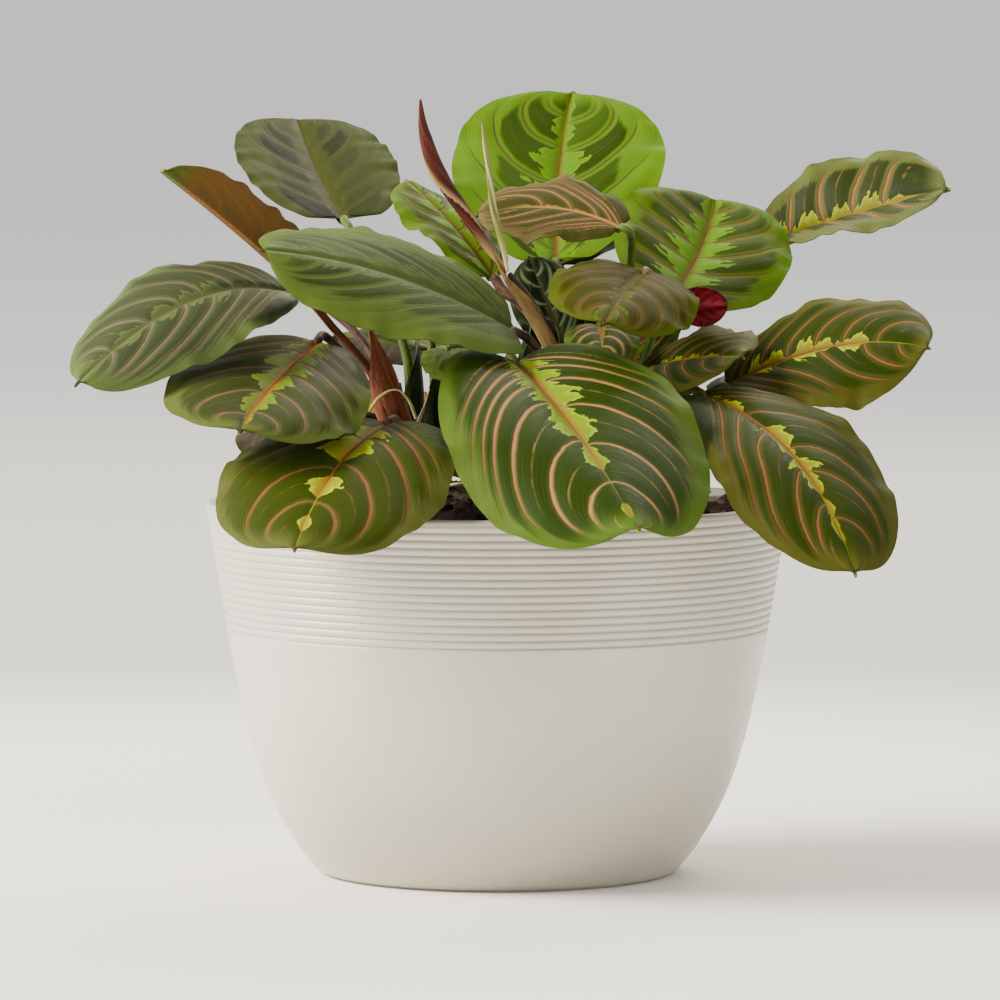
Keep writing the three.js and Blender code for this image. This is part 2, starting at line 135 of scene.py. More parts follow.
def curveThrough(points, steps):
    # centripetal curve through the points, at equal steps along its length
    points = np.array(points, dtype=float)
    ends = np.vstack([2 * points[0] - points[1], points, 2 * points[-1] - points[-2]])
    fine = []
    for k in range(1, len(ends) - 2):
        p0, p1, p2, p3 = ends[k - 1:k + 3]
        d0, d1, d2 = (max(np.linalg.norm(b - a) ** 0.5, 1e-4) for a, b in ((p0, p1), (p1, p2), (p2, p3)))
        t1 = ((p1 - p0) / d0 - (p2 - p0) / (d0 + d1) + (p2 - p1) / d1) * d1
        t2 = ((p2 - p1) / d1 - (p3 - p1) / (d1 + d2) + (p3 - p2) / d2) * d1
        square, cube = 3 * (p2 - p1) - 2 * t1 - t2, 2 * (p1 - p2) + t1 + t2
        for t in np.linspace(0, 1, 24, endpoint=False):
            fine.append(p1 + t1 * t + square * t ** 2 + cube * t ** 3)
    fine.append(points[-1])
    fine = np.array(fine)
    length = np.concatenate([[0], np.cumsum(np.linalg.norm(np.diff(fine, axis=0), axis=1))])
    wanted = np.linspace(0, length[-1], steps + 1)
    return np.stack([np.interp(wanted, length, fine[:, axis]) for axis in range(3)], axis=1), length[-1]


def framesAlong(path):
    along = unit(np.gradient(path, axis=0))
    side = np.zeros_like(path)
    start = np.array((0.3, 1, 0.1))
    for k, direction in enumerate(along):
        start = start - direction * np.dot(start, direction)
        start = start / np.linalg.norm(start)
        side[k] = start
    return along, side, np.cross(along, side)


def sweep(path, radii, sides, ring=None):
    # a closed tube; ring(angles, k) may bend the section's radius
    _, side, up = framesAlong(path)
    angles = np.linspace(0, fullTurn, sides, endpoint=False)
    points = []
    for k in range(len(path)):
        size = radii[k] * (np.ones(sides) if ring is None else ring(angles, k))
        across, upward = np.outer(size * np.cos(angles), side[k]), np.outer(size * np.sin(angles), up[k])
        points.append(path[k] + across + upward)
    points = np.vstack([np.concatenate(points), path[0], path[-1]])
    share = np.concatenate([np.repeat(np.linspace(0, 1, len(path)), sides), [0, 1]])
    turn = np.concatenate([np.tile(angles / fullTurn, len(path)), [0, 0]])
    return points, tubeFaces(len(path), sides), share, turn


def lathe(profile, segments, wobble):
    # turns a profile that starts and ends on the axis
    profile = np.array(profile, dtype=float)
    angles = np.linspace(0, fullTurn, segments, endpoint=False)
    r, z = profile[1:-1, :1], profile[1:-1, 1:]
    r = r + wobble(angles[None, :], r, z)
    points = np.stack([r * np.cos(angles), r * np.sin(angles), np.broadcast_to(z, r.shape)], axis=-1)
    points = np.vstack([points.reshape(-1, 3), [0, 0, profile[0, 1]], [0, 0, profile[-1, 1]]])
    return points, tubeFaces(len(r), segments)


# Small helpers for materials

def colour(code):
    parts = [int(code[k:k + 2], 16) / 255 for k in (1, 3, 5)]
    return tuple(c / 12.92 if c <= 0.04045 else ((c + 0.055) / 1.055) ** 2.4 for c in parts) + (1,)


def inks(row):
    # the colours of a dictionary, ready for the nodes
    return {key: colour(code) for key, code in row.items() if isinstance(code, str)}


class NodeNumber:
    # a number that the material's nodes work out; + - * / on it add the maths nodes
    def __init__(self, paint, socket):
        self.paint = paint
        self.socket = socket

    def __add__(self, other):
        return self.paint.calc("ADD", self, other)

    def __sub__(self, other):
        return self.paint.calc("SUBTRACT", self, other)

    def __rsub__(self, other):
        return self.paint.calc("SUBTRACT", other, self)

    def __mul__(self, other):
        return self.paint.calc("MULTIPLY", self, other)

    def __truediv__(self, other):
        return self.paint.calc("DIVIDE", self, other)


class Paint:
    def __init__(self, name, roughness=0.5, **sockets):
        self.material = bpy.data.materials.new(name)
        self.material.use_nodes = True
        self.tree = self.material.node_tree
        self.shader = self.tree.nodes["Principled BSDF"]
        self.shader.inputs["Roughness"].default_value = roughness
        for socket, value in sockets.items():
            self.shader.inputs[socket].default_value = value

    def put(self, socket, value):
        if isinstance(value, NodeNumber):
            self.tree.links.new(value.socket, socket)
        elif isinstance(value, bpy.types.NodeSocket):
            self.tree.links.new(value, socket)
        else:
            socket.default_value = value

    def calc(self, operation, *values):
        node = self.tree.nodes.new("ShaderNodeMath")
        node.operation = operation
        for socket, value in zip(node.inputs, values):
            self.put(socket, value)
        return NodeNumber(self, node.outputs[0])

    def ramp(self, value, low, high, start=0, end=1):
        node = self.tree.nodes.new("ShaderNodeMapRange")
        node.interpolation_type = "SMOOTHSTEP"
        for socket, number in zip(node.inputs, (value, low, high, start, end)):
            self.put(socket, number)
        return NodeNumber(self, node.outputs[0])

    def mix(self, factor, first, second):
        node = self.tree.nodes.new("ShaderNodeMix")
        node.data_type = "RGBA"
        self.put(node.inputs["Factor"], factor)
        self.put(node.inputs[6], first)
        self.put(node.inputs[7], second)
        return node.outputs[2]

    def field(self, name):
        node = self.tree.nodes.new("ShaderNodeAttribute")
        node.attribute_name = name
        return NodeNumber(self, node.outputs["Fac"])

    def place(self):
        return self.tree.nodes.new("ShaderNodeTexCoord").outputs["Object"]

    def combine(self, x, y, z=0.0):
        node = self.tree.nodes.new("ShaderNodeCombineXYZ")
        for socket, value in zip(node.inputs, (x, y, z)):
            self.put(socket, value)
        return node.outputs[0]

    def noise(self, where, scale, detail=2.0, rough=0.5):
        node = self.tree.nodes.new("ShaderNodeTexNoise")
        self.put(node.inputs["Vector"], where)
        node.inputs["Scale"].default_value = scale
        node.inputs["Detail"].default_value = detail
        node.inputs["Roughness"].default_value = rough
        return NodeNumber(self, node.outputs["Fac"])

    def base(self, value):
        self.put(self.shader.inputs["Base Color"], value)

    def rough(self, value):
        self.put(self.shader.inputs["Roughness"], value)

    def bump(self, height, depth):
        # depth in millimetres
        node = self.tree.nodes.new("ShaderNodeBump")
        node.inputs["Distance"].default_value = depth * mm
        node.inputs["Strength"].default_value = 1.0
        self.put(node.inputs["Height"], height)
        self.put(self.shader.inputs["Normal"], node.outputs[0])


# The pot: a thrown, satin glazed wall with turned ribs under the rim

pot = {
    "height": 97, "rimRadius": 76, "bandRadius": 70.4, "footRadius": 45, "footHeight": 0.8,
    "wall": 4, "floor": 5, "lipRound": 1.1,
    "ribs": 17, "ribPitch": 1.96, "ribDepth": 0.62, "ribRound": 0.6, "firstGroove": 0.35,
    "curve": [(46.5, 0.8), (48.4, 2.6), (52.7, 8.3), (58.2, 18), (62.7, 29.4), (66.6, 44.8), (70.4, 63.68)],
    "insideHeights": (95.2, 94.2, 92, 84, 66, 45, 30, 18, 8),
    "wobble": 0.12,  # how far the wall strays from round
    "segments": 216,
    # the foot and groove tones are painted shade
    "glaze": "#cfcabd", "glazeWarm": "#c8c2b2", "paintedFootShade": "#a9a18e", "paintedGrooveShade": "#a99f8b",
    "glazeSpeck": "#a1977f", "roughness": 0.36,
    "soilAndShadeMark": "#4c3826", "markTop": 96, "markFade": 2,  # soil traces and painted shade on the inside of the wall
}
bandBottom = pot["height"] - pot["ribs"] * pot["ribPitch"]


def potCurve(count):
    points = np.array(pot["curve"])
    ends = np.vstack([points[0], points, points[-1]])
    out = []
    for t in np.linspace(0, len(points) - 1, count):
        k = min(int(t), len(points) - 2)
        w = t - k
        p0, p1, p2, p3 = ends[k:k + 4]
        v0, v1 = (p2 - p0) / 2, (p3 - p1) / 2
        out.append((2 * (p1 - p2) + v0 + v1) * w ** 3 + (3 * (p2 - p1) - 2 * v0 - v1) * w ** 2 + v0 * w + p1)
    return np.array(out)


def potRadius(z):
    curve = potCurve(160)
    widening = pot["rimRadius"] - pot["bandRadius"]
    band = pot["bandRadius"] + widening * (z - bandBottom) / (pot["height"] - bandBottom)
    return np.where(z >= bandBottom, band, np.interp(z, curve[:, 1], curve[:, 0]))


def potProfile():
    height, pitch, lip = pot["height"], pot["ribPitch"], pot["lipRound"]
    foot, heel = pot["footRadius"], pot["footHeight"]
    outside = [(0, 0), (foot - 0.4, 0), (foot, 0.25), (foot, heel * 0.8)]
    outside += [tuple(point) for point in potCurve(46)[:-1]]
    for z in np.arange(bandBottom, height - 1.2, pitch / 9):
        place = (z - bandBottom) / pitch - pot["firstGroove"]
        depth = pot["ribDepth"] * (1 - abs(math.sin(math.pi * place)) ** pot["ribRound"])
        cut = depth * float(smoothStep(z, bandBottom, bandBottom + 0.8))
        outside.append((float(potRadius(z)) - cut, z))
    # the lip, rounded on the outside and then on the inside
    for start, radius in ((0, pot["rimRadius"] - lip), (math.pi / 2, pot["rimRadius"] - pot["wall"] + lip)):
        for angle in np.linspace(start, start + math.pi / 2, 6):
            outside.append((radius + lip * math.cos(angle), height - lip + lip * math.sin(angle)))
    inside = [(float(potRadius(z)) - pot["wall"], z) for z in (*pot["insideHeights"], pot["floor"])]
    return outside + inside + [(0, pot["floor"])]


def potGlaze():
    paint = Paint("satinGlaze", **{"Coat Weight": 0.25, "Coat Roughness": 0.22, "Coat IOR": 1.45})
    ramp, mix, noise, place, ink = paint.ramp, paint.mix, paint.noise, paint.place(), inks(pot)
    cloud = noise(place, 22, 3)
    speck = noise(place, 1400, 2, 0.6)
    tone = mix(ramp(cloud, 0.35, 0.68), ink["glaze"], ink["glazeWarm"])
    # painted shade: the glaze darker and greyer towards the foot and in the grooves
    tone = mix(ramp(paint.field("heightMm"), 46, 2, 0, 0.7), tone, ink["paintedFootShade"])
    # painted shade in the grooves between the ribs
    tone = mix(ramp(paint.field("grooveShare"), 0.15, 0.9, 0, 0.6), tone, ink["paintedGrooveShade"])
    tone = mix(ramp(speck, 0.68, 0.78, 0, 0.25), tone, ink["glazeSpeck"])
    # soil traces and painted shade: the inside of the wall darkened to soil brown below markTop
    mark = paint.field("soilAndShadeMark") + noise(place, 260, 4, 0.6)
    paint.base(mix(ramp(mark, 0.65, 1.05, 0, 0.88), tone, ink["soilAndShadeMark"]))
    paint.rough(ramp(noise(place, 180, 3), 0.3, 0.7, pot["roughness"] - 0.05, pot["roughness"] + 0.09))
    paint.bump(noise(place, 420, 3) + cloud * 3, 0.05)
    return paint.material


def makePot():
    def wobble(angle, radius, z):
        stray = np.sin(2 * angle + 0.4) + 0.6 * np.sin(3 * angle + z * 0.03)
        stray = stray + 0.25 * np.sin(7 * angle + z * 0.2)
        return pot["wobble"] * stray * smoothStep(z, 4, 40) * smoothStep(radius, 40, 60)

    points, faces = lathe(potProfile(), pot["segments"], wobble)
    height = points[:, 2]
    inward = potRadius(height) - np.hypot(points[:, 0], points[:, 1])
    grooved = (inward < 2) & (height < pot["height"] - 1.6) & (height > bandBottom)
    grooves = np.where(grooved, np.clip(inward / pot["ribDepth"], 0, 1), 0)
    # soil traces and painted shade, on the inside of the wall only
    marks = np.clip((pot["markTop"] - height) / pot["markFade"], 0, 1)
    marks = np.where(inward > pot["wall"] - 0.5, marks, 0)
    fields = {"heightMm": height, "grooveShare": grooves, "soilAndShadeMark": marks}
    piece = makePiece("glazed_pot", points, faces, [potGlaze()], fields, sharp=70)
    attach(piece, "root")
    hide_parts("pot")


makePot()
print("pot turned and glazed")


# The soil: a lumpy mound with crumbs, bark and grit on it

soil = {
    "edge": 92, "mound": 8, "lump": 1.2, "gap": 0.2, "bottom": 80, "reach": 71, "rings": 70, "segments": 180,
    "crumbSize": (0.7, 2.1), "standOut": 0.3,  # how far up a crumb lies, in its own size
    # how many, their share of that size, and how many times longer than wide
    "crumbs": (620, 0.8, None), "bark": (60, 0.6, (2, 4.5)), "grit": (16, 0.55, None),
    "dark": "#2a1c12", "brown": "#553a25", "barkLight": "#6a482c", "barkDark": "#3a2616",
    "gritLight": "#9c958a", "gritDark": "#77706a",
}


def soilHeight(x, y):
    r = np.sqrt(x ** 2 + y ** 2) / soil["reach"]
    broad = np.sin(0.13 * x + 1) * np.sin(0.11 * y + 2)
    fine = np.sin(0.37 * x + 0.21 * y) * np.sin(0.33 * y - 0.17 * x + 1)
    rough = 1.0 * softNoise(x, y, 4.5, 3) + 0.6 * softNoise(x, y, 2.0, 4) + 0.3 * softNoise(x, y, 1.0, 5)
    smooth = soil["edge"] + soil["mound"] * (1 - r ** 2) + soil["lump"] * (broad + fine)
    return smooth + rough * (1 - 0.6 * r ** 4)


def soilPaint(name, first, second, roughness):
    paint = Paint(name, roughness)
    place = paint.place()
    mottle = paint.ramp(paint.noise(place, 900, 4, 0.7), 0.38, 0.64)
    paint.base(paint.mix(mottle, colour(soil[first]), colour(soil[second])))
    paint.bump(paint.noise(place, 1500, 4, 0.7), 0.5)
    return paint.material


def crumb(rng, x, y, size, stretch):
    ball = bmesh.new()
    bmesh.ops.create_icosphere(ball, subdivisions=1, radius=1)
    points = np.array([vertex.co[:] for vertex in ball.verts])
    faces = [[vertex.index for vertex in face.verts] for face in ball.faces]
    ball.free()
    points = points * rng.uniform(0.72, 1.2, (len(points), 1)) * np.array([stretch, 1, 0.75]) * size
    turn, tilt = rng.uniform(0, fullTurn), rng.uniform(-0.5, 0.5)
    c, s = math.cos(tilt), math.sin(tilt)
    points = points @ np.array([[c, 0, s], [0, 1, 0], [-s, 0, c]])
    c, s = math.cos(turn), math.sin(turn)
    points = points @ np.array([[c, s, 0], [-s, c, 0], [0, 0, 1]])
    return points + [x, y, float(soilHeight(x, y)) + size * soil["standOut"]], faces


def makeSoil():
    n, bottomZ = soil["segments"], soil["bottom"]
    wallRadius = float(potRadius(soil["edge"])) - pot["wall"] - soil["gap"]
    shares = np.linspace(1, 0, soil["rings"] + 1)[:-1] ** 0.9
    angles = np.linspace(0, fullTurn, n, endpoint=False)
    radius = wallRadius * shares[:, None]
    x, y = radius * np.cos(angles), radius * np.sin(angles)
    top = np.stack([x, y, soilHeight(x, y)], axis=-1).reshape(-1, 3)
    bottom = np.stack([x[0] * 0.98, y[0] * 0.98, np.full(n, float(bottomZ))], axis=-1)
    middle, under = len(top) + n, len(top) + n + 1
    points = np.vstack([top, bottom, [0, 0, float(soilHeight(0.0, 0.0))], [0, 0, bottomZ]])
    faces = ringFaces(len(shares), n)
    last = (len(shares) - 1) * n
    for j in range(n):
        k = (j + 1) % n
        faces.append([last + j, last + k, middle])
        faces.append([len(top) + j, len(top) + k, k, j])
        faces.append([under, len(top) + k, len(top) + j])
    parts = [(points, faces, 0, {})]
    rng = np.random.default_rng(11)
    for paintNumber, kind in enumerate(("crumbs", "bark", "grit")):
        count, scale, stretch = soil[kind]
        for _ in range(count):
            angle, share = rng.uniform(0, fullTurn), math.sqrt(rng.uniform(0, 0.94))
            px, py = wallRadius * share * math.cos(angle), wallRadius * share * math.sin(angle)
            size = rng.uniform(*soil["crumbSize"])
            long = rng.uniform(*stretch) if stretch else 1.0
            parts.append((*crumb(rng, px, py, size * scale, long), paintNumber, {}))
    points, faces, numbers, _ = joinParts(parts)
    materials = [
        soilPaint("dampSoil", "dark", "brown", 0.95),
        soilPaint("barkChips", "barkLight", "barkDark", 0.85),
        soilPaint("paleGrit", "gritLight", "gritDark", 0.8),
    ]
    piece = makePiece("potting_soil", points, faces, materials, faceMaterials=numbers, sharp=40)
    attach(piece, "root")
    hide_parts("soil")


makeSoil()
print("soil filled in")


# The leaves: waved blades, puffed up between their side veins

blade = {
    "thickness": 0.5, "edgeThin": 0.45, "puffMm": 0.6, "puffReach": 3.5, "veinBend": 1.85, "veinSway": 0.02,
    "midribGroove": 0.5, "midribKeel": 1.0, "waves": 2.5, "fineWave": 0.45, "fineWaves": (6, 10),
    "baseWidth": 2.6, "tipWidth": 0.8, "basalLobe": 0.06, "ovalEnd": 0.98, "tipStart": 0.9, "tipTaper": 1.5,
}

# What each look of leaf is painted with: the dark fields between the veins, the green round them, the margin,
# the jagged band along the midrib with its points, and the veins with their sides. The fields go from
# fieldStart out to reach, where 1 is the leaf's edge, the margin begins at edgeStart, and veinGap is left
# clear beside a vein. fine is the streaks, haze a greyish veil of painted sheen, and uneven how much the
# fields differ in depth.
# What a look doesn't name is as usual
usualLook = {
    "reach": 0.8, "fine": 0.25, "haze": 0.04, "gloss": 0.05, "roughness": 0.48, "sheen": 0.0,
    "veinStrength": 1.0, "veinGap": 0.4, "fieldSoft": 0.06, "fieldStart": -1, "baseField": 0.12,
    "edgeStart": 0.66, "baseEdge": 0.25, "uneven": 0.1, "greenTip": 0.0, "under": "#372e17",
    "underField": "#42271a", "underVein": "#4d4229",
}
leafLooks = {
    "green": {
        "dark": "#203002", "body": "#354410", "margin": "#4b611c", "band": "#6a7e02", "bandPoint": "#7fa102",
        "midrib": "#7e4f20", "vein": "#947443", "veinSide": "#5f3b24",
    },
    "deep": {
        "dark": "#2d3705", "body": "#424913", "margin": "#4b501f", "band": "#8a8a02", "bandPoint": "#a3b202",
        "midrib": "#884e1b", "vein": "#6a502c", "veinSide": "#4e2d14", "reach": 0.84, "haze": 0.03,
    },
    "moss": {
        "dark": "#1b2c02", "body": "#3b3c0a", "margin": "#484916", "band": "#747913", "bandPoint": "#97a402",
        "midrib": "#71461d", "vein": "#704f30", "veinSide": "#502a17", "haze": 0.03, "gloss": 0.04,
        "veinGap": 0.7, "fieldSoft": 0.05, "uneven": 0.35,
    },
    "sunlit": {
        "dark": "#1b2602", "body": "#4b511f", "margin": "#515a28", "band": "#747918", "bandPoint": "#929618",
        "midrib": "#7a5124", "vein": "#885935", "veinSide": "#5f3521", "under": "#3f3519",
        "underField": "#472c1b", "underVein": "#57482c", "reach": 0.72, "haze": 0.05, "gloss": 0.08,
        "veinGap": 0.9, "fieldSoft": 0.04, "baseField": 0.0, "uneven": 0.2,
    },
    # lime is a young leaf's lighter green with painted backlight glow in it
    "lime": {
        "dark": "#263104", "body": "#44580d", "margin": "#4c690a", "band": "#517802", "bandPoint": "#5e8202",
        "midrib": "#654a17", "vein": "#614821", "veinSide": "#4d3717", "under": "#4c4920",
        "underField": "#45451e", "underVein": "#685c31", "reach": 0.74, "haze": 0.03, "gloss": 0.06,
        "roughness": 0.5, "veinGap": 0.7, "fieldSoft": 0.04, "baseField": 0.1, "edgeStart": 0.7,
        "baseEdge": 0.9, "uneven": 0.25,
    },
    "blush": {
        "dark": "#353513", "body": "#4e4924", "margin": "#645733", "band": "#4e541e", "bandPoint": "#656a2c",
        "midrib": "#a3733c", "vein": "#88633d", "veinSide": "#583425", "under": "#44341d",
        "underField": "#4c281b", "underVein": "#654c33", "reach": 0.9, "fine": 0.35, "gloss": 0.03,
    },
    "dusky": {
        "dark": "#2c340b", "body": "#424920", "margin": "#4f5923", "band": "#5e7409", "bandPoint": "#6f8615",
        "midrib": "#91460d", "vein": "#6f543a", "veinSide": "#4e3127", "under": "#36311c",
        "underField": "#3d2b1e", "underVein": "#4a432b", "reach": 0.84, "fine": 0.3, "haze": 0.15,
        "sheen": 0.01,
    },
    "olive": {
        "dark": "#363c25", "body": "#4c5435", "margin": "#526330", "band": "#4a592e", "bandPoint": "#5a6336",
        "midrib": "#524f2f", "vein": "#6c6243", "veinSide": "#473b2a", "under": "#342f1a",
        "underField": "#3b291c", "underVein": "#474129", "reach": 0.88, "fine": 0.35, "haze": 0.18,
        "roughness": 0.46, "sheen": 0.01,
    },
    # bright is a young leaf's lighter green with painted backlight glow in it
    "bright": {
        "dark": "#202f02", "body": "#496a07", "margin": "#507207", "band": "#4d7402", "bandPoint": "#5a7f02",
        "midrib": "#614916", "vein": "#4c471a", "veinSide": "#424211", "under": "#564e23",
        "underField": "#4c5420", "underVein": "#736334", "reach": 0.6, "haze": 0.03, "gloss": 0.06,
        "roughness": 0.5, "veinGap": 0.8, "fieldSoft": 0.03, "baseField": 0.0, "edgeStart": 0.5,
        "baseEdge": 0.9, "uneven": 0.3,
    },
    "pale": {
        "dark": "#1e2901", "body": "#4b5c21", "margin": "#516224", "band": "#415023", "bandPoint": "#495b2c",
        "midrib": "#4a552a", "vein": "#404e23", "veinSide": "#2f3b11", "under": "#323d1a",
        "underField": "#3a3a1c", "underVein": "#4c5630", "reach": 0.56, "fine": 0.5, "haze": 0.08,
        "gloss": 0.03, "roughness": 0.46, "veinStrength": 0.35, "veinGap": 0.15, "fieldSoft": 0.05,
        "fieldStart": 0.14, "baseField": 0.1, "baseEdge": 0.7, "uneven": 0.5,
    },
    "grey": {
        "dark": "#030601", "body": "#333a13", "margin": "#373e18", "band": "#2d3514", "bandPoint": "#39411e",
        "midrib": "#42401b", "vein": "#32331e", "veinSide": "#20250a", "under": "#323018",
        "underField": "#392f18", "underVein": "#47452b", "reach": 0.62, "fine": 0.35, "haze": 0.12,
        "gloss": 0.03, "veinStrength": 0.3, "veinGap": 0.5, "fieldSoft": 0.05, "fieldStart": 0.2,
        "baseField": 0.05, "baseEdge": 0.7, "uneven": 0.8,
    },
    "clay": {
        "dark": "#2f2e01", "body": "#474509", "margin": "#434a10", "band": "#394305", "bandPoint": "#4a591c",
        "midrib": "#533f1d", "vein": "#593d2a", "veinSide": "#3d1f11", "under": "#322517",
        "underField": "#382217", "underVein": "#4a3a29", "reach": 0.84, "fine": 0.3, "gloss": 0.02,
    },
    "striped": {
        "dark": "#0f1d05", "body": "#232f11", "margin": "#2c3a17", "band": "#354220", "bandPoint": "#576a48",
        "midrib": "#584e2b", "vein": "#718159", "veinSide": "#2b3a1f", "reach": 0.9, "fine": 0.3,
        "haze": 0.1, "gloss": 0.1, "roughness": 0.4,
    },
    "amber": {
        "dark": "#2b2b0a", "body": "#3d3b16", "margin": "#4e5d1f", "band": "#586120", "bandPoint": "#72762b",
        "midrib": "#6a4220", "vein": "#6a5026", "veinSide": "#4c2c17", "under": "#684a26",
        "underField": "#5b4a26", "underVein": "#714d1f", "fine": 0.4, "haze": 0.1, "gloss": 0.04,
        "roughness": 0.46, "sheen": 0.01, "greenTip": 0.9,
    },
    "red": {
        "dark": "#210402", "body": "#460d0d", "margin": "#502011", "band": "#582b17", "bandPoint": "#6b3a20",
        "midrib": "#622a1d", "vein": "#612a25", "veinSide": "#3b0307", "under": "#5d0314",
        "underField": "#4d0209", "underVein": "#721d25", "fine": 0.3, "haze": 0.05, "gloss": 0.06,
        "sheen": 0.01,
    },
}

# Each leaf in millimetres and degrees: its midrib from base through middle to tip, its width, the roll of the
# blade, the fold and curl of its right and left halves, droop, how much more they fold up at the base than at
# the tip, and its stalk's way, which ends in a straight neck. Veins are where the side veins leave the midrib
# (right, left), arch is how far they bend to the tip, and band pairs places along the midrib with the light
# band's half-width. lean and fullness shape the outline, and puff scales the relief between the veins
openVeins = ((0.03, 0.12, 0.24, 0.4, 0.6, 0.78), (0.07, 0.18, 0.31, 0.48, 0.68, 0.84))
closeVeins = ((0.06, 0.17, 0.3, 0.46, 0.66, 0.82), (0.03, 0.11, 0.22, 0.37, 0.56, 0.75))
fewVeins = ((0.05, 0.2, 0.4, 0.62, 0.8), (0.12, 0.29, 0.5, 0.72))
usualLeaf = {
    "roll": 0, "fold": (8, 8), "curl": (-25, -25), "droop": 25, "wave": 1.2, "puff": 1, "lean": 1.12,
    "fullness": 0.46, "neck": 5, "veinMm": 0.72, "arch": (0.6, 0.6),
}
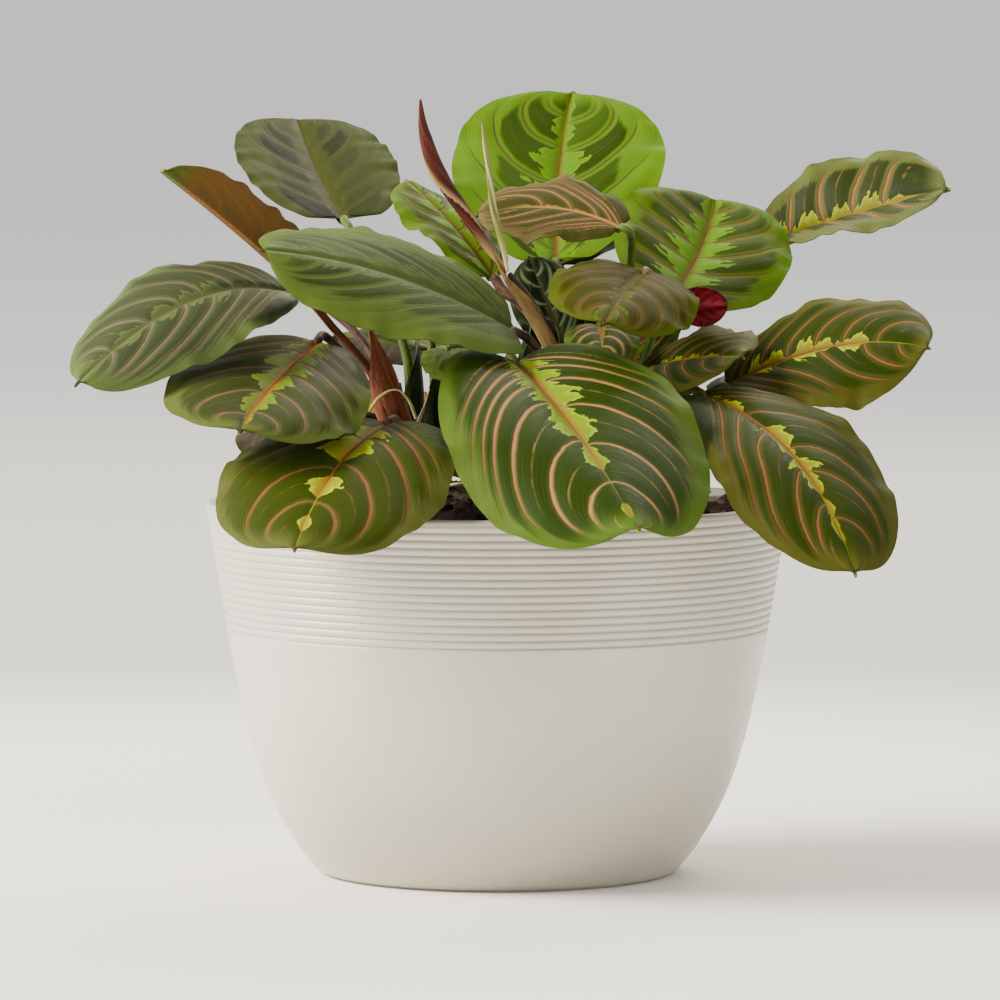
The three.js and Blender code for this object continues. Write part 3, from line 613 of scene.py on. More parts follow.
leafRows = {
    "leaf_far_left": {
        "shoot": "shoot_left", "look": "olive", "width": 37.5, "roll": 31, "fold": (4, 6), "veinMm": 0.55,
        "arch": (0.32, 0.75), "midrib": [(-53.5, -20, 152), (-78.5, -38, 150.5), (-106.5, -57, 130)],
        "stalk": [(-23, -5, 106), (-28, -8, 118), (-33, -9, 131), (-42, -13, 142)],
        "veins": ((0.02, 0.08, 0.16, 0.28, 0.42, 0.55, 0.69, 0.83),
                  (0.07, 0.15, 0.25, 0.38, 0.53, 0.68, 0.83)),
        "band": [(0, 1), (0.06, 4), (0.18, 2), (0.3, 1.2), (0.37, 4.2), (0.5, 3.2), (0.54, 1), (0.6, 4.2),
                 (0.67, 1.2), (0.75, 3.6), (0.82, 1), (0.88, 2.4), (1, 0)],
    },
    "leaf_low_left": {
        "shoot": "shoot_left", "look": "dusky", "width": 51.5, "roll": 12, "droop": 10, "veinMm": 0.6,
        "arch": (0.55, 0.5), "midrib": [(-46.5, -15, 139), (-57.5, -50, 129), (-64, -80, 120)],
        "stalk": [(-24, -5, 108), (-30, -5, 120), (-38, -6, 133)],
        "veins": ((0.02, 0.12, 0.3, 0.56, 0.8), (0.04, 0.12, 0.22, 0.34, 0.54, 0.76)),
        "band": [(0, 2), (0.08, 5), (0.3, 7), (0.45, 6), (0.52, 2.2), (0.6, 5.5), (0.7, 3), (0.8, 2.6),
                 (0.93, 0.3), (1, 0)],
    },
    "leaf_rim_left": {
        "shoot": "shoot_left", "look": "deep", "width": 59.5, "roll": 4, "veinMm": 0.85,
        "arch": (0.62, 0.85), "midrib": [(-28, -30, 119), (-40.5, -71, 110), (-50, -103, 92)],
        "stalk": [(-23, -5, 105), (-24.5, -13, 115)],
        "veins": ((0.03, 0.2, 0.5, 0.74), (0.0, 0.08, 0.22, 0.47, 0.75)),
        "band": [(0, 1), (0.1, 2), (0.16, 6), (0.28, 9), (0.39, 7), (0.44, 0.2), (0.55, 0.2), (0.59, 5),
                 (0.66, 4), (0.7, 0.1), (0.8, 0.1), (0.81, 1), (0.85, 1.9), (0.89, 0.8), (0.91, 0.1),
                 (1, 0)],
    },
    "leaf_front": {
        "shoot": "shoot_front", "look": "green", "width": 68, "roll": -4, "fold": (12, 12), "droop": 60,
        "veinMm": 0.78, "arch": (0.8, 0.5), "midrib": [(4.5, -20, 134), (20, -68, 119), (35, -105, 97)],
        "stalk": [(8, -12, 104), (5, -11, 120)],
        "veins": ((0.02, 0.1, 0.16, 0.22, 0.33, 0.54, 0.78), (0.03, 0.1, 0.19, 0.35, 0.56, 0.78)),
        "band": [(0, 1), (0.05, 4.5), (0.2, 6.6), (0.38, 6.2), (0.5, 5), (0.56, 1.6), (0.6, 4), (0.67, 3),
                 (0.71, 0.2), (0.86, 0.2), (0.89, 1.3), (0.93, 0.9), (0.95, 0.2), (1, 0)],
    },
    "leaf_rim_right": {
        "shoot": "shoot_right", "look": "moss", "width": 46, "roll": -8, "veinMm": 0.5, "arch": (0.9, 0.5),
        "midrib": [(52.5, -23, 126), (75, -57, 112), (89, -88, 84.5)],
        "stalk": [(33, -8, 106), (41.5, -12.5, 119)],
        "veins": ((0.08, 0.2, 0.33, 0.57, 0.73), (0.0, 0.06, 0.21, 0.44, 0.58, 0.79)),
        "band": [(0, 0.1), (0.09, 2.4), (0.17, 2), (0.2, 0.2), (0.31, 0.4), (0.34, 3.4), (0.46, 3),
                 (0.5, 0.2), (0.55, 4), (0.64, 3), (0.68, 0.2), (0.76, 1.6), (0.85, 1), (0.9, 0.1), (1, 0)],
    },
    "leaf_right": {
        "shoot": "shoot_right", "look": "moss", "width": 44, "roll": -38, "fold": (6, 10), "veinMm": 0.45,
        "arch": (0.75, 0.35), "midrib": [(59, -2, 127), (86.5, -13, 138), (111, -23, 138)],
        "stalk": [(34, -8, 110), (43, -5, 117)],
        "veins": ((0.02, 0.1, 0.22, 0.43, 0.64, 0.82), (0.0, 0.07, 0.17, 0.28, 0.4, 0.53, 0.7)),
        "band": [(0, 0.3), (0.1, 0.4), (0.14, 4), (0.25, 4), (0.29, 0.3), (0.34, 4.6), (0.46, 3.8),
                 (0.5, 0.3), (0.57, 3.6), (0.64, 3), (0.68, 0.1), (1, 0)],
    },
    "leaf_high_right": {
        "shoot": "shoot_back_right", "look": "sunlit", "width": 41.5, "roll": -33, "fold": (36, 36),
        "veinMm": 0.6, "arch": (0.3, 0.12), "midrib": [(72, 68, 160.5), (95, 62, 169), (120.5, 53, 177)],
        "stalk": [(38, 18, 110), (48, 34, 130), (62, 55, 149)],
        "veins": ((0.05, 0.2, 0.37, 0.55, 0.74), (0.05, 0.17, 0.34, 0.51, 0.68)),
        "band": [(0, 1), (0.08, 4), (0.6, 4.6), (0.72, 3), (0.78, 1), (1, 0)],
    },
    "leaf_bright_right": {
        "shoot": "shoot_bright", "look": "lime", "width": 49, "roll": -20, "fold": (12, 14), "droop": -20,
        "veinMm": 0.5, "arch": (0.35, 0.25), "midrib": [(46, 20, 149.5), (54, 42, 161.5), (58, 62, 174)],
        "stalk": [(28, 14, 112), (37, 16, 130)],
        "veins": ((0.08, 0.24, 0.4, 0.56, 0.72, 0.86), (0.05, 0.18, 0.33, 0.48, 0.63, 0.78)),
        "band": [(0, 4), (0.1, 8), (0.3, 9), (0.6, 7), (0.85, 4), (1, 0.5)],
    },
    "leaf_bright_top": {
        "shoot": "shoot_back", "look": "bright", "width": 58, "fold": (10, 10), "curl": (-8, -8), "droop": 0,
        "puff": 0.8, "veinMm": 0.4, "midrib": [(15.5, 42, 158), (16.5, 70, 181), (20.5, 91, 202.5)],
        "stalk": [(7, 21, 110), (9.5, 28, 133)],
        "veins": ((0.02, 0.2, 0.4, 0.6, 0.8), (0.05, 0.23, 0.42, 0.64, 0.84)),
        "band": [(0, 3), (0.1, 7), (0.3, 8), (0.38, 4), (0.44, 9), (0.58, 8), (0.64, 3), (0.8, 3),
                 (0.92, 1), (1, 0)],
    },
    "leaf_high_left": {
        "shoot": "shoot_left", "look": "grey", "width": 43, "fold": (10, 10), "curl": (-8, -8), "droop": 0,
        "wave": 0.2, "puff": 0.5, "lean": 1, "fullness": 0.37, "veinMm": 0.35, "arch": (0.5, 0.5),
        "midrib": [(-40.5, 24, 169.5), (-48.5, 51, 182.5), (-54, 79, 195)],
        "stalk": [(-23, -4, 110), (-24, 8, 135), (-33, 16, 155)],
        "veins": ((0.05, 0.18, 0.34, 0.52, 0.7, 0.86), (0.1, 0.26, 0.43, 0.61, 0.78)),
        "band": [(0, 1.5), (0.2, 3.5), (0.6, 2.5), (0.8, 1), (1, 0)],
    },
    "leaf_folded_left": {
        "shoot": "shoot_left", "look": "amber", "width": 21, "fold": (30, 58), "curl": (-8, -8), "droop": 0,
        "wave": 0.5, "midrib": [(-47, 13, 149), (-65, -1, 166), (-86, -16, 183.5)],
        "stalk": [(-24, -4, 112), (-30, 4, 130), (-37, 11, 140)], "veins": openVeins,
        "band": [(0, 1), (0.2, 2.5), (0.6, 2), (1, 0)],
    },
    "leaf_pale_left": {
        "shoot": "shoot_main", "look": "pale", "width": 52, "roll": 32, "wave": 0.7, "puff": 0.45,
        "lean": 0.95, "fullness": 0.4, "veinMm": 0.35, "arch": (0.85, 0.85),
        "midrib": [(4, -16, 142), (-27, -32, 157), (-60, -47, 164)], "stalk": [(21, -4, 110), (16, -8, 128)],
        "veins": ((0.0, 0.08, 0.17, 0.28, 0.4, 0.53, 0.67, 0.82),
                  (0.03, 0.12, 0.22, 0.33, 0.46, 0.6, 0.75, 0.88)),
        "band": [(0, 3), (0.1, 5), (0.4, 6), (0.8, 4), (1, 0)],
    },
    "leaf_bright_left": {
        "shoot": "shoot_main", "look": "lime", "width": 27, "veinMm": 0.45, "arch": (0.5, 0.5),
        "midrib": [(-1, 5, 155), (-12, 15, 169), (-24, 28, 180)], "stalk": [(10, -1, 145), (5, 1, 149)],
        "veins": fewVeins, "band": [(0, 1.5), (0.15, 4.5), (0.4, 5.5), (0.7, 4), (0.88, 1.5), (1, 0)],
    },
    "leaf_folded_top": {
        "shoot": "shoot_bright", "look": "blush", "width": 28, "roll": 8, "fold": (34, -15), "droop": 0,
        "neck": 2.5, "veinMm": 0.5, "arch": (1.1, 0.9),
        "midrib": [(32, 4, 168), (14, 12, 173), (-6, 18, 171)],
        "stalk": [(28, 14, 114), (30, 18, 135), (34, 15, 152), (35, 9, 162)],
        "veins": ((0.0, 0.08, 0.2, 0.36, 0.56), (0.0, 0.07, 0.17, 0.32, 0.52)),
        "band": [(0, 0.2), (0.3, 0.8), (0.6, 1), (1, 0)],
    },
    "leaf_middle": {
        "shoot": "shoot_bright", "look": "clay", "width": 39, "roll": 15, "veinMm": 0.45,
        "midrib": [(38, 5, 156), (33, -20, 153), (27, -42, 145)],
        "stalk": [(27, 12, 112), (31, 5, 131), (40, 6, 144), (42, 12, 152)],
        "veins": ((0.02, 0.1, 0.22, 0.38, 0.6, 0.8), (0.04, 0.14, 0.27, 0.45, 0.66, 0.84)),
        "band": [(0, 1), (0.3, 1.5), (0.52, 1), (0.6, 3), (0.7, 2), (0.75, 0.5), (0.82, 5), (0.92, 4),
                 (1, 0)],
    },
    "leaf_striped": {
        "shoot": "shoot_back", "look": "striped", "width": 19, "roll": 65, "wave": 0, "puff": 0.6,
        "arch": (0.7, 0.7), "midrib": [(18, 14, 136), (13, 14, 148), (8, 18, 160)],
        "stalk": [(6, 19, 112), (13, 17, 124)], "veins": openVeins, "band": [(0, 1), (0.3, 1.5), (1, 0)],
    },
    "leaf_small_red": {
        "shoot": "shoot_bright", "look": "red", "width": 11, "roll": 80, "fold": (4, 4), "wave": 0,
        "puff": 0.3, "arch": (0.5, 0.5), "midrib": [(46, 3, 146), (53, 0, 147.5), (60, -3, 148)],
        "stalk": [(36, 5, 140), (40, 4.5, 143)], "veins": fewVeins, "band": [(0, 0.5), (0.3, 1), (1, 0)],
    },
    "leaf_inner_right": {
        "shoot": "shoot_right", "look": "moss", "width": 39, "fold": (-8, 38), "veinMm": 0.4,
        "arch": (0.45, 0.45), "midrib": [(36, 0, 130), (49, -13, 134.5), (63, -25, 136)],
        "stalk": [(32, -7, 110), (31, 0, 120)],
        "veins": ((0.03, 0.13, 0.25, 0.39, 0.54, 0.7, 0.85), (0.06, 0.18, 0.31, 0.46, 0.62, 0.78)),
        "band": [(0, 0.3), (0.1, 1.4), (0.5, 1.9), (0.8, 0.8), (1, 0)],
    },
    "leaf_inner_left": {
        "shoot": "shoot_front", "look": "pale", "width": 18, "wave": 0, "puff": 0.4,
        "midrib": [(-13, 2, 136), (-11, -8, 134), (-9, -17, 129)], "stalk": [(7, -12, 106), (-4, -4, 120)],
        "veins": fewVeins, "band": [(0, 1), (0.3, 2), (1, 0)],
    },
    "leaf_inner_middle": {
        "shoot": "shoot_bright", "look": "green", "width": 20, "wave": 0, "puff": 0.5,
        "midrib": [(27, 8, 142), (27, -5, 140), (27, -17, 134)], "stalk": [(27, 13, 112), (26, 14, 130)],
        "veins": fewVeins, "band": [(0, 1), (0.3, 1.2), (1, 0)],
    },
    "leaf_inner_back": {
        "shoot": "shoot_back_right", "look": "green", "width": 33, "fold": (2, 2), "curl": (-8, -8),
        "droop": 0, "wave": 0.6, "midrib": [(36, 27, 129), (34.5, 30, 143), (33, 33, 156)],
        "stalk": [(38, 18, 104), (39, 22, 116)], "veins": openVeins,
        "band": [(0, 1), (0.1, 3.5), (0.45, 5), (0.55, 1.5), (0.62, 4), (0.75, 1), (1, 0)],
    },
    "leaf_side_left": {
        "shoot": "shoot_left", "look": "green", "width": 31,
        "midrib": [(-39, 3, 117), (-52, 8, 114.5), (-64, 12, 104)],
        "stalk": [(-23, -5, 104), (-29, -1, 111)], "veins": closeVeins,
        "band": [(0, 1), (0.1, 3.5), (0.4, 5), (0.6, 3), (0.8, 1.5), (1, 0)],
    },
    "leaf_back_top": {
        "shoot": "shoot_back", "look": "green", "width": 42, "arch": (0.65, 0.6),
        "midrib": [(16, 58, 156), (19, 83, 168), (22, 105, 173)], "stalk": [(6, 21, 114), (8, 36, 134)],
        "veins": openVeins,
        "band": [(0, 1), (0.08, 5), (0.35, 6), (0.45, 1.5), (0.52, 5), (0.7, 2), (0.8, 2.5), (1, 0)],
    },
    "leaf_back_middle": {
        "shoot": "shoot_back", "look": "green", "width": 54, "arch": (0.6, 0.7),
        "midrib": [(3, 46, 122), (2, 76, 117), (0, 99, 95)], "stalk": [(6, 21, 106), (5, 32, 117)],
        "veins": closeVeins,
        "band": [(0, 1), (0.08, 6), (0.4, 7.5), (0.55, 4), (0.62, 1), (0.7, 4), (0.8, 1.5), (1, 0)],
    },
    "leaf_back_low_right": {
        "shoot": "shoot_back_right", "look": "green", "width": 48, "arch": (0.7, 0.6),
        "midrib": [(48, 34, 119), (62, 58, 119), (76, 82, 106)], "stalk": [(38, 18, 104), (42, 24, 113)],
        "veins": openVeins,
        "band": [(0, 1), (0.1, 5), (0.3, 7), (0.4, 1.2), (0.48, 5), (0.6, 3), (0.66, 0.5), (0.8, 2.6),
                 (1, 0)],
    },
    "leaf_back_right": {
        "shoot": "shoot_back_right", "look": "olive", "width": 41, "arch": (0.55, 0.6),
        "midrib": [(60, 20, 124), (78, 35, 127), (94, 48, 120)], "stalk": [(38, 18, 106), (48, 17, 117)],
        "veins": closeVeins, "band": [(0, 1), (0.1, 4), (0.35, 5), (0.6, 3), (0.8, 1.5), (1, 0)],
    },
    "leaf_back_high_right": {
        "shoot": "shoot_bright", "look": "green", "width": 37,
        "midrib": [(38, 46, 144), (43, 69, 152), (48, 92, 150)], "stalk": [(28, 15, 108), (32, 31, 128)],
        "veins": closeVeins, "band": [(0, 1), (0.1, 4), (0.35, 5.5), (0.42, 1), (0.5, 4), (0.7, 2), (1, 0)],
    },
    "leaf_back_low_left": {
        "shoot": "shoot_back_left", "look": "green", "width": 47, "arch": (0.65, 0.65),
        "midrib": [(-31, 33, 117), (-47, 59, 118), (-62, 82, 105)],
        "stalk": [(-16, 20, 104), (-22, 26, 113)], "veins": closeVeins,
        "band": [(0, 1), (0.1, 5), (0.45, 7), (0.52, 1.5), (0.6, 4), (0.75, 1), (0.82, 2), (1, 0)],
    },
    "leaf_back_side_left": {
        "shoot": "shoot_back_left", "look": "olive", "width": 38, "arch": (0.55, 0.55),
        "midrib": [(-44, 12, 122), (-63, 27, 126), (-80, 42, 117)],
        "stalk": [(-17, 19, 106), (-30, 12, 117)], "veins": openVeins,
        "band": [(0, 1), (0.1, 4), (0.4, 4.5), (0.7, 2.5), (1, 0)],
    },
    "leaf_back_high_left": {
        "shoot": "shoot_back_left", "look": "green", "width": 36, "arch": (0.6, 0.65),
        "midrib": [(-22, 30, 149), (-37, 49, 158), (-51, 67, 158)],
        "stalk": [(-16, 18, 110), (-17, 20, 132)], "veins": openVeins,
        "band": [(0, 1), (0.1, 4.5), (0.4, 5.5), (0.55, 1), (0.6, 3.5), (0.8, 1), (1, 0)],
    },
    "leaf_back_left": {
        "shoot": "shoot_back_left", "look": "dusky", "width": 46,
        "midrib": [(-16, 40, 134), (-24, 66, 138), (-32, 92, 128)],
        "stalk": [(-15, 19, 108), (-15, 29, 124)], "veins": closeVeins,
        "band": [(0, 1), (0.08, 5), (0.35, 6.5), (0.45, 2), (0.55, 5), (0.7, 2.5), (1, 0)],
    },
}
leafLooks = {key: {**usualLook, **look} for key, look in leafLooks.items()}
leafRows = {name: {**usualLeaf, **row} for name, row in leafRows.items()}


def bladeOutline(row, s):
    along = np.minimum(s / blade["ovalEnd"], 1) ** row["lean"]
    oval = np.maximum(4 * along * (1 - along), 0) ** row["fullness"]
    return np.where(s > blade["tipStart"], np.maximum(oval, blade["tipTaper"] * (1 - s)), oval)


def midribAt(row, s):
    base, middle, tip = np.array(row["midrib"], dtype=float)
    bend = 2 * middle - (base + tip) / 2
    s = s[..., None]
    place = (1 - s) ** 2 * base + 2 * s * (1 - s) * bend + s ** 2 * tip
    return place, unit(2 * (1 - s) * (bend - base) + 2 * s * (tip - bend))


def bladeSurface(row, s, v, phases):
    # the blade's middle surface for s from base to tip and v from the left edge -1 to the right edge 1
    place, along = midribAt(row, s)
    base, _, tip = np.array(row["midrib"], dtype=float)
    line = unit(tip - base)
    level = unit(np.cross(line, [0, 0, 1]))
    roll = math.radians(row["roll"])
    side = level * math.cos(roll) + np.cross(level, line) * math.sin(roll)
    side = unit(side - along * (along @ side)[:, None])
    up = np.cross(side, along)
    out, hand = np.abs(v), np.where(v > 0, 0, 1)
    s = s[:, None]
    droop = row["droop"] * (0.4 - s)
    fold = np.radians(np.array(row["fold"], dtype=float)[hand] + droop)
    curl = np.radians(np.array(row["curl"], dtype=float)[hand])
    ends = blade["baseWidth"] + (blade["tipWidth"] - blade["baseWidth"]) * s
    half = np.maximum(row["width"] * bladeOutline(row, s), ends) / 2
    across = half * (np.sin(fold + curl * out) - np.sin(fold)) / curl
    rise = half * (np.cos(fold) - np.cos(fold + curl * out)) / curl
    bell = np.sin(math.pi * s)
    rise = rise + row["wave"] * out ** 3 * np.sin(fullTurn * blade["waves"] * s + 2 * hand) * bell
    few, many = blade["fineWaves"]
    ripple = np.sin(fullTurn * few * s + phases[0] + 2 * hand)
    ripple = ripple + 0.6 * np.sin(fullTurn * many * s + phases[1] - hand)
    rise = rise + blade["fineWave"] * out ** 5 * ripple * bell
    lobe = row["width"] * blade["basalLobe"] * out ** 2 * (1 - s) ** 4 * np.minimum(s * 30, 1)
    points = place[:, None] + side[:, None] * (np.sign(v) * across)[..., None]
    points = points + up[:, None] * rise[..., None] - along[:, None] * lobe[..., None]
    return points, half


def surfaceNormals(points):
    lengthwise = np.gradient(points, axis=0)
    crosswise = np.gradient(points, axis=1)
    return unit(np.cross(crosswise, lengthwise))


def veinPhases(row, s, v):
    # counts up by one from each side vein to the next, so whole numbers lie on the veins
    phase = np.zeros((len(s), len(v)))
    for column, place in enumerate(v):
        side = 0 if place > 0 else 1
        starts = np.array(row["veins"][side])
        bend = row["arch"][side] * (0.65 + 0.7 * starts - 2.2 * np.maximum(starts - 0.6, 0))
        lines = starts + bend * abs(place) ** blade["veinBend"]
        gaps = np.diff(lines)
        lines = np.concatenate([[lines[0] - gaps[0]], lines, [lines[-1] + gaps[-1]]])
        steps = np.interp(s[:, column], lines, np.arange(-1, len(starts) + 1))
        phase[:, column] = np.clip(steps, -0.5, len(starts) - 0.5)
    return phase


def makeLeaf(name, row, number):
    rng = np.random.default_rng(100 + number)
    look = leafLooks[row["look"]]
    base, _, tip = np.array(row["midrib"], dtype=float)
    rows = int(np.clip(float(np.linalg.norm(tip - base)) * 0.95, 34, 96))
    columns = int(np.clip(row["width"] * 0.52, 12, 32))
    # rows lie closer at base and tip, columns closer at the edges
    even = np.linspace(0, 1, rows + 1)
    s = 0.6 * even + 0.4 * (1 - np.cos(math.pi * even)) / 2
    v = np.linspace(0, 1, columns + 1)
    v = np.maximum(0.7 * v + 0.3 * np.sin(math.pi * v / 2), 0.006)
    v = np.concatenate([-v[::-1], v])
    points, half = bladeSurface(row, s, v[None, :], rng.uniform(0, 6, 2))
    s, out, hand = s[:, None], np.abs(v)[None, :], (v < 0).astype(int)[None, :]
    sway = blade["veinSway"] * softNoise(s * 5 + number, v[None, :] * 2 + 3, 1.0, 40 + number)
    phase = veinPhases(row, s + sway, v)
    shape = phase.shape
    acrossMm = v[None, :] * half
    stepMm = np.linalg.norm(np.gradient(points, axis=0), axis=-1)
    sideMm = np.linalg.norm(np.gradient(points, axis=1), axis=-1)
    halves = phase[:, :columns + 1], phase[:, columns + 1:]
    slopeAcross = np.concatenate([np.gradient(part, axis=1) for part in halves], axis=1)
    slopeAlong = np.gradient(phase, axis=0) / np.maximum(stepMm, 0.05)
    steep = np.clip(np.hypot(slopeAlong, slopeAcross / np.maximum(sideMm, 0.05)), 0.03, 1.2)
    # each stretch between two veins has its own share of the band, of the field's reach and of its depth
    cell = np.floor(phase).astype(int)
    chance = rng.uniform(0, 1, (2, 200, 3))[hand, cell + 100]
    knots = np.array(row["band"], dtype=float)
    band = np.interp(s, knots[:, 0], knots[:, 1]) * (0.85 + 0.3 * chance[..., 0])
    # raised between the veins, sunk along the midrib
    veinMm = np.abs(phase - np.round(phase)) / steep
    puffed = np.minimum(veinMm / blade["puffReach"], 1) ** 0.7
    puffed = puffed * smoothStep(out, 0.02, 0.22) * (1 - smoothStep(out, 0.80, 0.99))
    puffed = puffed * np.sin(math.pi * s) ** 0.5
    middleLine = np.exp(-(acrossMm / (1.5 - 0.9 * s)) ** 2)
    lift = blade["puffMm"] * (puffed - 0.5) * row["puff"] - blade["midribGroove"] * middleLine
    points = points + surfaceNormals(points) * lift[..., None]
    normals = surfaceNormals(points)
    thick = blade["thickness"] * (1 - blade["edgeThin"] * out ** 8) / 2
    keel = blade["midribKeel"] * middleLine * (1 - 0.75 * s)
    top = points + normals * np.broadcast_to(thick, shape)[..., None]
    bottom = points - normals * (thick + keel)[..., None]
    upper, lower, rim = slabFaces(*shape)
    numbers = np.repeat([0, 1, 0], [len(upper), len(lower), len(rim)])
    fields = {
        "veinPhase": phase, "phasePerMm": steep, "acrossMm": acrossMm, "outShare": out, "tipShare": s,
        "bandMm": band, "fieldEnd": look["reach"] + 0.16 * (chance[..., 1] - 0.5),
        "fieldDepth": 1 - look["uneven"] * chance[..., 2], "veinMm": row["veinMm"],
    }
    fields = {key: np.tile(np.broadcast_to(values, shape).ravel(), 2) for key, values in fields.items()}
    piece = makePiece(
        name.replace("leaf", "blade"), np.vstack([top.reshape(-1, 3), bottom.reshape(-1, 3)]),
        np.concatenate([upper, lower, rim]), leafPaints[row["look"]], fields, numbers, sharp=55,
    )
    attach(piece, "root")
    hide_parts(name)


# How the markings are drawn, beside the colours of each look
markings = {
    # the grey of the haze is painted sheen
    "sheenTint": "#d9d6c0", "paintedSheenGrey": "#3f3e2a", "streaks": 9, "fineStreaks": 26, "veinWander": 0.07,
    "thinLineMm": (0.42, 0.08), "ribMm": (0.55, 0.16), "ribBlur": 0.15, "veinBlur": (-0.14, 0.2),
    "bandBlur": 0.22, "toothPeak": 0.66, "toothReach": (0.34, 1.12), "sawTeeth": 3, "sawReach": (0.74, 1.12),
    "bumpTop": 0.16, "bumpUnder": 0.2,  # in millimetres, as the blurs are
}


def paintTop(name, look):
    paint = Paint(name, look["roughness"], **{
        "Sheen Weight": look["sheen"], "Sheen Roughness": 0.5, "Sheen Tint": colour(markings["sheenTint"]),
        "Specular IOR Level": look["gloss"],
    })
    calc, ramp, mix, noise, ink = paint.calc, paint.ramp, paint.mix, paint.noise, inks(look)
    place, combine = paint.place(), paint.combine
    phase, steep, out = paint.field("veinPhase"), paint.field("phasePerMm"), paint.field("outShare")
    tip, band = paint.field("tipShare"), paint.field("bandMm")
    across = calc("ABSOLUTE", paint.field("acrossMm"))
    blur = noise(place, 260, 2)
    cloud = noise(place, 60, 3)
    phase = phase + (blur - 0.5) * markings["veinWander"]
    cell = calc("FRACT", phase + 10)
    fromVein = calc("MINIMUM", cell, 1 - cell) / steep
    # fine streaks that run with the side veins
    streak = noise(combine(phase * markings["streaks"], out * 1.6, cloud), 1, 3, 0.6)
    streakFine = noise(combine(phase * markings["fineStreaks"], out * 2.5, cloud), 1, 2, 0.6)
    # dark fields between the veins, green round them and a lighter margin, widest towards the tip
    gap, soft = look["veinGap"], look["fieldSoft"]
    fieldEnd = paint.field("fieldEnd") + (streak - 0.5) * (soft * 5)
    fieldEnd = fieldEnd + ramp(tip, 0.15, 0.55, look["baseField"], 0)
    fieldStart = out - look["fieldStart"] + (streak - 0.5) * (soft * 4)
    inField = ramp(fromVein, gap, gap + 1) * ramp(fieldEnd - out, -soft, soft) * ramp(fieldStart, -soft, soft)
    inField = inField * paint.field("fieldDepth") * ramp(tip, 0.98, 0.86)
    atEdge = ramp(out, look["edgeStart"], 0.93) * ramp(streak, 0.25, 0.6, 0.7, 1)
    atEdge = atEdge * ramp(tip, 0.1, 0.5, look["baseEdge"], 1)
    atEdge = calc("MAXIMUM", atEdge, ramp(tip, 0.86, 0.96))
    tone = mix(atEdge, ink["body"], ink["margin"])
    tone = mix(inField * 0.95, tone, ink["dark"])
    tone = mix(ramp(streakFine, 0.5, 0.75) * (look["fine"] * 0.5), tone, ink["margin"])
    # painted sheen: a greyish veil in cloudy patches, strongest on the olive and dusky looks
    tone = mix(ramp(cloud, 0.4, 0.75) * look["haze"], tone, colour(markings["paintedSheenGrey"]))
    # a thin pale line midway between two side veins
    thinLine = ramp(calc("ABSOLUTE", cell - 0.5) / steep, *markings["thinLineMm"]) * ramp(out, 0.12, 0.3)
    thinLine = thinLine * (ramp(out, 0.85, 0.6) * ramp(steep, 0.16, 0.09)) * ramp(steep, 0.035, 0.05)
    tone = mix(thinLine * ramp(blur, 0.35, 0.6, 0.1, 0.5), tone, ink["vein"])
    # the light band: one jagged lobe between each two side veins, its points leaning to the tip
    peak = markings["toothPeak"]
    tooth = calc("MINIMUM", cell / peak, (1 - cell) / (1 - peak))
    saw = calc("FRACT", cell * markings["sawTeeth"] + blur * 0.8)
    lobe = ramp(tooth, 0, 0.9, *markings["toothReach"]) * ramp(saw, 0, 1, *markings["sawReach"])
    jag = ramp(noise(combine(phase * 6, across * 0.35), 1, 2, 0.7), 0.3, 0.7, 0.8, 1.15)
    reach = band * lobe * jag
    inBand = ramp(reach - across, -markings["bandBlur"], markings["bandBlur"]) * ramp(band, 0.3, 0.9)
    bandTone = mix(ramp(across / calc("MAXIMUM", reach, 0.3), 0.5, 0.98), ink["band"], ink["bandPoint"])
    bandTone = mix(ramp(across + blur, 2.6, 0.9, 0, 0.55), bandTone, ink["midrib"])
    tone = mix(inBand, tone, bandTone)
    # side veins, lighter in the middle, and the midrib
    width = ramp(out, 0, 0.35, 0.5, 1) * ramp(out, 0.45, 0.95, 1, 0.3)
    width = width * paint.field("veinMm") * ramp(streak, 0.2, 0.8, 0.8, 1.2)
    fading = out + (blur - 0.5) * 0.25 + ramp(tip, 0.75, 1, 0, 0.3)
    strong = ramp(fading, 0.97, 0.76) * ramp(tip, 0, 0.05) * ramp(tip, 0.95, 0.84) * look["veinStrength"]
    onVein = ramp(width - fromVein, *markings["veinBlur"]) * strong
    core = ramp(fromVein / width, 0.85, 0.25) * ramp(out, 0.85, 0.5, 0.25, 1)
    tone = mix(onVein, tone, mix(core, ink["veinSide"], ink["vein"]))
    onRib = ramp(ramp(tip, 0, 1, *markings["ribMm"]) - across, -markings["ribBlur"], markings["ribBlur"])
    tone = mix(onRib, tone, mix(ramp(tip, 0.55, 0.95), ink["midrib"], ink["bandPoint"]))
    paint.base(tone)
    paint.rough(ramp(streakFine, 0.3, 0.7, look["roughness"] - 0.04, look["roughness"] + 0.1))
    paint.bump(streakFine * 0.7 + noise(place, 2600, 2) * 0.25 + onVein * -0.5, markings["bumpTop"])
    return paint.material


